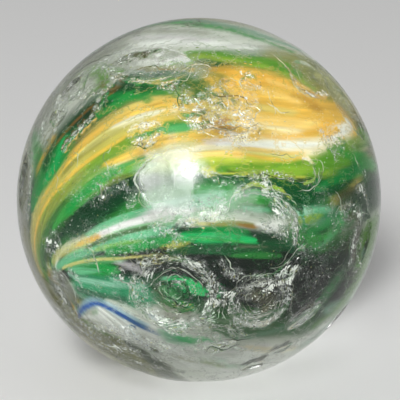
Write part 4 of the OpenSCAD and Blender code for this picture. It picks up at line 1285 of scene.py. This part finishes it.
# ---------------------------------------------------------------------------------------------
# Operators
# ---------------------------------------------------------------------------------------------
class MARBLE_OT_glass(bpy.types.Operator):
    """Make the clear ball with every flake, shell, moon and chip in its skin"""

    bl_idname = "marble.glass"
    bl_label = "Glass Ball"

    def execute(self, context):
        settings = context.scene.marble_glass
        bm = bmesh.new()
        bmesh.ops.create_icosphere(bm, subdivisions=7, radius=BALL_R)
        _, crush, rim = skin(unit(as_array(bm.verts)))
        worn = (crush > 0.05) | (rim > 0.1)
        bm.verts.ensure_lookup_table()
        edges = [e for e in bm.edges if worn[e.verts[0].index] or worn[e.verts[1].index]]
        bmesh.ops.subdivide_edges(bm, edges=edges, cuts=1, use_grid_fill=True)
        bmesh.ops.triangulate(bm, faces=[f for f in bm.faces if len(f.verts) > 3])
        piece = new_piece("marble_glass", bm, glass_material(settings))
        dirs = unit(points_of(piece))
        radius, crush, rim = skin(dirs)
        frost = wear(dirs, crush, rim)
        rough = np.maximum(np.maximum(crush, rim), frost)
        radius = radius - crumble(dirs, np.clip(np.maximum(crush, 0.6 * frost), 0, 1))
        set_points(piece.data, dirs * radius[:, None] * MM)
        give_values(piece.data, "crush", np.clip(rough, 0, 1))
        give_values(piece.data, "frost", frost)
        # veils of milky haze, with the painted glow round the lamp's highlight
        give_values(piece.data, "veil_and_glow", spread(dirs, VEILS_AND_GLOW, 80))
        give_values(piece.data, "shade", spread(dirs, SHADES, 170))
        check_size(piece)
        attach(piece, "root")
        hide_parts("marble")
        return {"FINISHED"}


# How far round the strands turn for each degree along the cane, and the hook that they make near the
# pontil: how far round it goes to each side of its middle, where that is, and over what length
TWIST = 0.7
HOOK = 17
HOOK_AT = 15
HOOK_LENGTH = 10.6


def flow(along):
    """How far round the strands have turned at each place along the cane."""
    return TWIST * (along - 90) + HOOK * (np.tanh((along - HOOK_AT) / HOOK_LENGTH) - 1)


def fibres(around, along, size, seed):
    """Noise from 0 to 1 drawn out along the strands, with cells about size degrees wide."""
    start = np.radians(around - flow(along))
    lie = np.stack([np.cos(start), np.sin(start), np.radians(along) / 12], -1)
    return clouds(lie, math.radians(size), seed, 3)


def paint_cane(dirs):
    """Colour of the cane along each direction."""
    around, along = cane_place(dirs)
    wide, fine = fibres(around, along, 5, 101), fibres(around, along, 1.6, 111)
    calm = smooth((along - 10) / 25)
    around = around + calm * (3 * (wide - 0.5) + 1.6 * (fine - 0.5))
    dirs = on_cane(around, along)
    start = (around - flow(along) + 80) % 360 - 80
    stops = np.array([s[0] for s in ROUND_THE_CANE], float)
    tones = np.array([tone(s[1]) for s in ROUND_THE_CANE])
    colour = np.stack([np.interp(start, stops, tones[:, k]) for k in range(3)], -1)
    fray = 0.8 * calm * (fibres(around, along, 1.1, 121) - 0.5)
    streak = 0.82 + 0.36 * fibres(around, along, 2.4, 131)
    for name, strength, softness, points in STRANDS:
        curve = spline(points)
        near, off = stroke(dirs, on_cane(curve[:, 0], curve[:, 1]), curve[:, 2])
        soft = 0.4 + softness
        cover = strength * smooth((1 + soft / 2 - off + fray[near] * (0.4 + softness)) / soft)
        colour[near] += (tone(name) * streak[near, None] - colour[near]) * cover[:, None]
    # pale threads, then dark ones
    for seed, change in ((141, 0.3), (151, -0.3)):
        threads = smooth(5 * fibres(around, along, 1.5, seed) - 3.1)
        colour *= 1 + change * threads[:, None]
    cap = smooth((8.5 - along + 3 * (wide - 0.5)) / 3)
    colour = np.clip(colour, 0, 0.9)
    return colour + (tone("cap") * streak[:, None] - colour) * 0.85 * cap[:, None]


class MARBLE_OT_cane(bpy.types.Operator):
    """Make the coloured cane that shows through the glass"""

    bl_idname = "marble.cane"
    bl_label = "Coloured Cane"

    def execute(self, context):
        settings = context.scene.marble_cane
        bm = bmesh.new()
        bmesh.ops.create_grid(
            bm, x_segments=settings.facets_round, y_segments=settings.facets_along, size=1)
        seam = [v for v in bm.verts if abs(v.co.x) > 0.9999]
        ends = [v for v in bm.verts if abs(v.co.y) > 0.9999]
        for v in bm.verts:
            # rows lie closer together near the pontil, where the strands are finest
            turn, fall = math.pi * v.co.x, math.pi * ((1 - v.co.y) / 2) ** 1.5
            flat = math.sin(fall)
            v.co = (flat * math.cos(turn), flat * math.sin(turn), math.cos(fall))
        bmesh.ops.remove_doubles(bm, verts=seam, dist=1e-6)
        bmesh.ops.remove_doubles(bm, verts=[v for v in ends if v.is_valid], dist=1e-4)
        bmesh.ops.recalc_face_normals(bm, faces=bm.faces)
        piece = new_piece("cane_core", bm, cane_material())
        raw = unit(points_of(piece))
        along = np.degrees(np.arccos(np.clip(raw[:, 2], -1, 1)))
        around = np.degrees(np.arctan2(raw[:, 1], raw[:, 0]))
        twisted = around + flow(along)
        dirs = on_cane(twisted, along)
        waist, reach = settings.waist * BALL_R, settings.reach * BALL_R
        sine, cosine = np.sin(np.radians(along)), np.cos(np.radians(along))
        radius = 1 / np.hypot(sine / waist, cosine / reach)
        far_side = smooth((0.15 - dirs @ on_face(0, 0)[0]) / 0.5)
        radius = radius * (1 + settings.far_side * far_side)
        furrow = settings.ribs / MM * smooth(along / 20) * smooth((180 - along) / 20)
        radius = radius - furrow * fibres(twisted, along, 4, 161)
        radius = np.minimum(radius, skin(dirs)[0] - CANE_COVER)
        set_points(piece.data, dirs * radius[:, None] * MM)
        give_colours(piece.data, "strands", paint_cane(dirs))
        uv = piece.data.uv_layers.new(name="fibres")
        corners = np.empty(len(piece.data.loops), np.int32)
        piece.data.loops.foreach_get("vertex_index", corners)
        places = np.stack([around[corners] / 360, along[corners] / 180], -1)
        uv.data.foreach_set("uv", places.astype(np.float32).ravel())
        check_size(piece)
        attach(piece, "root")
        return {"FINISHED"}


class MARBLE_OT_frost(bpy.types.Operator):
    """Make the powdered white glass just under the skin, with its painted glow and painted shade"""

    bl_idname = "marble.frost"
    bl_label = "Frost"

    def execute(self, context):
        glass = bpy.data.objects["marble_glass"]
        bm = bmesh.new()
        bm.from_mesh(glass.data)
        for v in bm.verts:
            v.co -= v.normal * (FROST_DEPTH * MM)
        piece = new_piece("crushed_frost_glow_and_shade", bm, frost_material(context.scene.marble_wear))
        check_size(piece)
        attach(piece, "root")
        return {"FINISHED"}


# Crumbs lie round a shell or a moon most at this share of its radius, and over this share of it
RING_MIDDLE = 0.9
RING_SPREAD = 0.5
# How firmly they lie round it, and how much each strays from its neighbours
RING_GRIP = 2.5
STRAY = 0.45


def ring_way(dirs):
    """How near each place is to a shell or a moon, and the way that runs round it."""
    near = np.zeros((len(dirs), 1))
    way = np.zeros_like(dirs)
    rings = [(at, rim_d / 2) for at, (rim_d, _, _) in SHELLS.values()]
    rings += [(at, width / 2) for at, (width, _, _, _) in MOONS.values()]
    for at, radius in rings:
        centre = on_face(*at)[0]
        away = np.arccos(np.clip(dirs @ centre, -1, 1))[:, None] * BALL_R
        pull = np.exp(-((away - RING_MIDDLE * radius) / (RING_SPREAD * radius)) ** 2)
        way += unit(np.cross(centre, dirs)) * pull
        near = np.maximum(near, pull)
    return near, way


# The crumbs are cut from a grid of faces with this many columns
CRUMB_COLUMNS = 100
# Tones of crumbs, and how often each comes
CRUMB_TONES = [("white", 0.42), ("milk", 0.14), ("pale", 0.1), ("tan", 0.08), ("ash", 0.1), ("ink", 0.16)]


class MARBLE_OT_crumbs(bpy.types.Operator):
    """Scatter crumbs of broken glass where the skin is crushed, and larger white ones in clusters, whose
    white is partly painted glint
    """

    bl_idname = "marble.crumbs"
    bl_label = "Crumbs"

    def execute(self, context):
        settings = context.scene.marble_wear
        rng = np.random.default_rng(7)
        tries = unit(rng.normal(size=(settings.crumbs, 3)))
        radius, crush, rim = skin(tries)
        frost = wear(tries, crush, rim)
        glint_cluster = spread(tries, GLINTS, 230)
        keep = np.nonzero(rng.random(len(tries)) < 0.75 * frost + glint_cluster + 0.025)[0]
        rows = len(keep) // CRUMB_COLUMNS
        count = rows * CRUMB_COLUMNS
        keep = keep[:count]
        out, radius, frost, glint_cluster = tries[keep], radius[keep], frost[keep], glint_cluster[keep]
        bm = bmesh.new()
        bmesh.ops.create_grid(bm, x_segments=CRUMB_COLUMNS, y_segments=rows, size=1)
        bmesh.ops.split_edges(bm, edges=bm.edges[:])
        piece = new_piece("glass_crumbs_and_glints", bm, splinter_material(), smooth_shaded=False)
        corners = np.array([p.vertices[:] for p in piece.data.polygons])
        ringed, round_way = ring_way(out)
        drift = np.stack([clouds(out * BALL_R, 1.1, seed, 2) - 0.5 for seed in (61, 63, 65)], -1)
        side = np.cross(out, STRAY * rng.normal(size=(count, 3)) + unit(drift))
        side = unit(side + RING_GRIP * ringed * round_way)
        lean = np.radians(rng.uniform(-50, 50, count))[:, None]
        up = np.cross(out, side) * np.cos(lean) + out * np.sin(lean)
        size = settings.crumb_size / MM * rng.uniform(0.3, 1, count) ** 2
        size = (size * (0.6 + 0.4 * frost) * (1 + 1.2 * glint_cluster))[:, None]
        middle = out * (radius - rng.uniform(-0.01, 0.07, count))[:, None]
        points = np.empty((len(piece.data.vertices), 3))
        for k, (x, y) in enumerate(((-1, -1), (1, -1), (1, 1), (-1, 1))):
            wide = x * rng.uniform(0.2, 0.6, (count, 1)) * (1.2 + 0.8 * ringed)
            tall = y * rng.uniform(0.2, 0.6, (count, 1)) * (0.75 - 0.25 * ringed)
            points[corners[:, k]] = middle + size * (side * wide + up * tall)
        set_points(piece.data, keep_inside(points) * MM)
        names, odds = zip(*CRUMB_TONES)
        picked = rng.choice(len(names), count, p=odds)
        own = np.array([tone(n) for n in names])[picked]
        # painted glints: crumbs in the glint clusters are whitened
        own += (tone("white") - own) * smooth(2 * glint_cluster)[:, None]
        own += (paint_cane(out) - own) * settings.see_through * (1 - glint_cluster)[:, None]
        colours = np.empty((len(points), 3))
        colours[corners] = own[:, None]
        give_colours(piece.data, "tone", colours)
        check_size(piece)
        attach(piece, "root")
        return {"FINISHED"}


# Half widths of the arcs of painted glint round each kind of mark
ARC_HALF = {"scallop": 0.022, "dish": 0.02, "patch": 0.024, "shell": 0.018, "moon": 0.018}


def mark_arcs(rng):
    """Broken arcs of painted glint round the rims of the marks: place, radii, start, sweep, half width."""
    arcs = []

    def broken(at, length, width, pieces, half):
        for _ in range(pieces):
            arcs.append((at, length / 2, width / 2, rng.uniform(0, 360), rng.uniform(40, 130), half))

    for at, (length, width, _) in SCALLOPS.values():
        broken(at, length, width, 3, ARC_HALF["scallop"])
    for at, (width, _) in DISHES.values():
        broken(at, width, width, 2, ARC_HALF["dish"])
    for e, n, width, _ in CRUSHED_PATCH:
        broken((e, n), width, width, 2, ARC_HALF["patch"])
    for at, (rim_d, ring_d, _) in SHELLS.values():
        for k in range(RIPPLES + 2):
            width = ring_d + (rim_d - ring_d) * k / RIPPLES
            for _ in range(3):
                broken(at, width, width * rng.uniform(0.85, 1.05), 1, ARC_HALF["shell"])
    for at, (width, sweep, groove, _) in MOONS.values():
        for share in (-1, 1):
            across = width / 2 + share * groove / 2
            start, run = rng.uniform(0, 90), rng.uniform(0.2, 0.4) * sweep
            arcs.append((at, across, across, start, run, ARC_HALF["moon"]))
    return arcs


class MARBLE_OT_cracks(bpy.types.Operator):
    """Make the hairline cracks, the edges of painted glint and the dark lines of painted shade"""

    bl_idname = "marble.cracks"
    bl_label = "Cracks"

    def execute(self, context):
        step = context.scene.marble_wear.crack_step / MM
        rng = np.random.default_rng(3)
        paths = []
        for half, points in CRACKS_GLINTS_AND_SHADE:
            path, _ = skin_path([(*p, 0) for p in points], 12)
            paths.append((path, 0.5 * math.radians(half) * BALL_R))
        black = sum(half < 0 for half, _ in CRACKS_GLINTS_AND_SHADE)
        paths.sort(key=lambda p: p[1])
        for at, long_r, short_r, start, sweep, half in mark_arcs(rng):
            out, x_way, y_way = on_face(*at)
            turn = np.radians(np.linspace(start, start + sweep, 40))[:, None]
            flat = np.cos(turn) * x_way * long_r + np.sin(turn) * y_way * short_r
            paths.append((unit(out * BALL_R + flat), half))
        bm = bmesh.new()
        strips = []
        for path, half in paths:
            gone = np.concatenate([[0], np.cumsum(np.linalg.norm(np.diff(path, axis=0), axis=1))])
            count = max(6, int(gone[-1] * BALL_R / step))
            t = np.linspace(0, gone[-1], count + 1)
            dirs = unit(np.stack([np.interp(t, gone, path[:, k]) for k in range(3)], -1))
            bmesh.ops.create_grid(bm, x_segments=count, y_segments=1, size=1)
            strips.append((dirs, half))
        piece = new_piece("hairline_cracks_glints_and_shade", bm, splinter_material())
        middles = np.vstack([wander(dirs, 0.9) for dirs, _ in strips])
        along = np.vstack([np.gradient(dirs, axis=0) for dirs, _ in strips])
        ends = np.concatenate([np.sin(np.linspace(0, math.pi, len(d))) for d, _ in strips])
        half = np.concatenate([np.full(len(d), abs(h)) for d, h in strips]) * ends**0.6
        half = half * (0.35 + 1.6 * clouds(middles * BALL_R, 0.3, 91, 2))
        side = unit(np.cross(middles, along))
        roll = 1.6 * (clouds(middles * BALL_R, 0.5, 95, 2) - 0.5)
        radius = skin(middles)[0] - FROST_DEPTH
        across = side * np.cos(roll)[:, None] + middles * np.sin(roll)[:, None]
        lower = middles * radius[:, None] - across * half[:, None]
        upper = middles * radius[:, None] + across * half[:, None]
        points, first, dark = [], 0, 0
        for k, (dirs, _) in enumerate(strips):
            n = len(dirs)
            points += [lower[first:first + n], upper[first:first + n]]
            first += n
            dark += 2 * n * (k < black)
        points = keep_inside(np.vstack(points))
        set_points(piece.data, points * MM)
        # painted glints: the pale strips run from ash to pale, and stand partly for hairline cracks
        bright = smooth(2.6 * clouds(points, 0.45, 97, 2) - 0.7)[:, None]
        own = tone("ash") + (tone("pale") - tone("ash")) * bright
        # painted shade: the dark strips are ink
        own[:dark] = tone("ink")
        own += (paint_cane(unit(points)) - own) * context.scene.marble_wear.see_through
        give_colours(piece.data, "tone", own)
        check_size(piece)
        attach(piece, "root")
        return {"FINISHED"}


class MARBLE_OT_stage(bpy.types.Operator):
    """Set the floor, the soft lamp, the room's light and the camera"""

    bl_idname = "marble.stage"
    bl_label = "Stage"

    def execute(self, context):
        scene = context.scene
        settings = scene.marble_stage
        scene.view_settings.view_transform = "Standard"
        toward, right, up = on_face(0, 0)
        bm = bmesh.new()
        bmesh.ops.create_circle(bm, cap_ends=True, segments=64, radius=FLOOR_RADIUS)
        bmesh.ops.translate(bm, verts=bm.verts, vec=(0, 0, -BALL_R * MM))
        material, _, shader, _ = new_material("pale_floor")
        shader.inputs["Base Color"].default_value = (*settings.floor_tone, 1)
        shader.inputs["Roughness"].default_value = 0.9
        floor = new_piece("floor", bm, material)

        # Discs one behind the other make a lamp that is brightest in its middle
        way = Vector(unit(LAMP_WAY[0] * right + LAMP_WAY[1] * up + LAMP_WAY[2] * toward))
        for k, (width, power) in enumerate(LAMP_DISCS):
            lamp = bpy.data.lights.new("soft_lamp", "AREA")
            lamp.shape = "DISK"
            lamp.size = 2 * settings.lamp_radius * width
            lamp.energy = settings.lamp_power * power
            holder = bpy.data.objects.new("soft_lamp", lamp)
            holder.location = way * (LAMP_DISTANCE + LAMP_STEP * k)
            holder.rotation_euler = way.to_track_quat("Z", "Y").to_euler()
            scene.collection.objects.link(holder)

        world = bpy.data.worlds.new("room")
        world.use_nodes = True
        world.node_tree.nodes["Background"].inputs["Color"].default_value = (1, 1, 1, 1)
        world.node_tree.nodes["Background"].inputs["Strength"].default_value = settings.sky
        scene.world = world

        camera = bpy.data.cameras.new("view")
        camera.lens = LENS
        camera.shift_x = LENS_SHIFT
        camera.clip_start = NEAREST_SEEN
        viewer = bpy.data.objects.new("view", camera)
        turn = Matrix((right, up, toward)).transposed()
        viewer.matrix_world = Matrix.Translation(Vector(toward) * settings.view_distance) @ turn.to_4x4()
        scene.collection.objects.link(viewer)
        scene.camera = viewer
        return {"FINISHED"}


class MARBLE_PT_build(bpy.types.Panel):
    """Lists the marble's pieces and their settings"""

    bl_label = "Worn Glass Marble"
    bl_space_type = "VIEW_3D"
    bl_region_type = "UI"
    bl_category = "Marble"

    def draw(self, context):
        for operator in OPERATORS:
            self.layout.operator(operator.bl_idname)
        for name in SETTINGS:
            settings = getattr(context.scene, name)
            for key in settings.bl_rna.properties.keys():
                if key not in ("rna_type", "name"):
                    self.layout.prop(settings, key)


SETTINGS = {"marble_glass": GlassSettings, "marble_wear": WearSettings, "marble_cane": CaneSettings,
            "marble_stage": StageSettings}
OPERATORS = (MARBLE_OT_stage, MARBLE_OT_glass, MARBLE_OT_cane, MARBLE_OT_frost, MARBLE_OT_crumbs,
             MARBLE_OT_cracks)
CLASSES = (*SETTINGS.values(), *OPERATORS, MARBLE_PT_build)


def register():
    for c in CLASSES:
        bpy.utils.register_class(c)
    for name, kind in SETTINGS.items():
        setattr(bpy.types.Scene, name, PointerProperty(type=kind))


def unregister():
    for name in SETTINGS:
        delattr(bpy.types.Scene, name)
    for c in reversed(CLASSES):
        bpy.utils.unregister_class(c)


def main():
    register()
    bpy.ops.marble.stage()
    bpy.ops.marble.glass()
    bpy.ops.marble.cane()
    bpy.ops.marble.frost()
    bpy.ops.marble.crumbs()
    bpy.ops.marble.cracks()


if __name__ == "__main__":
    main()
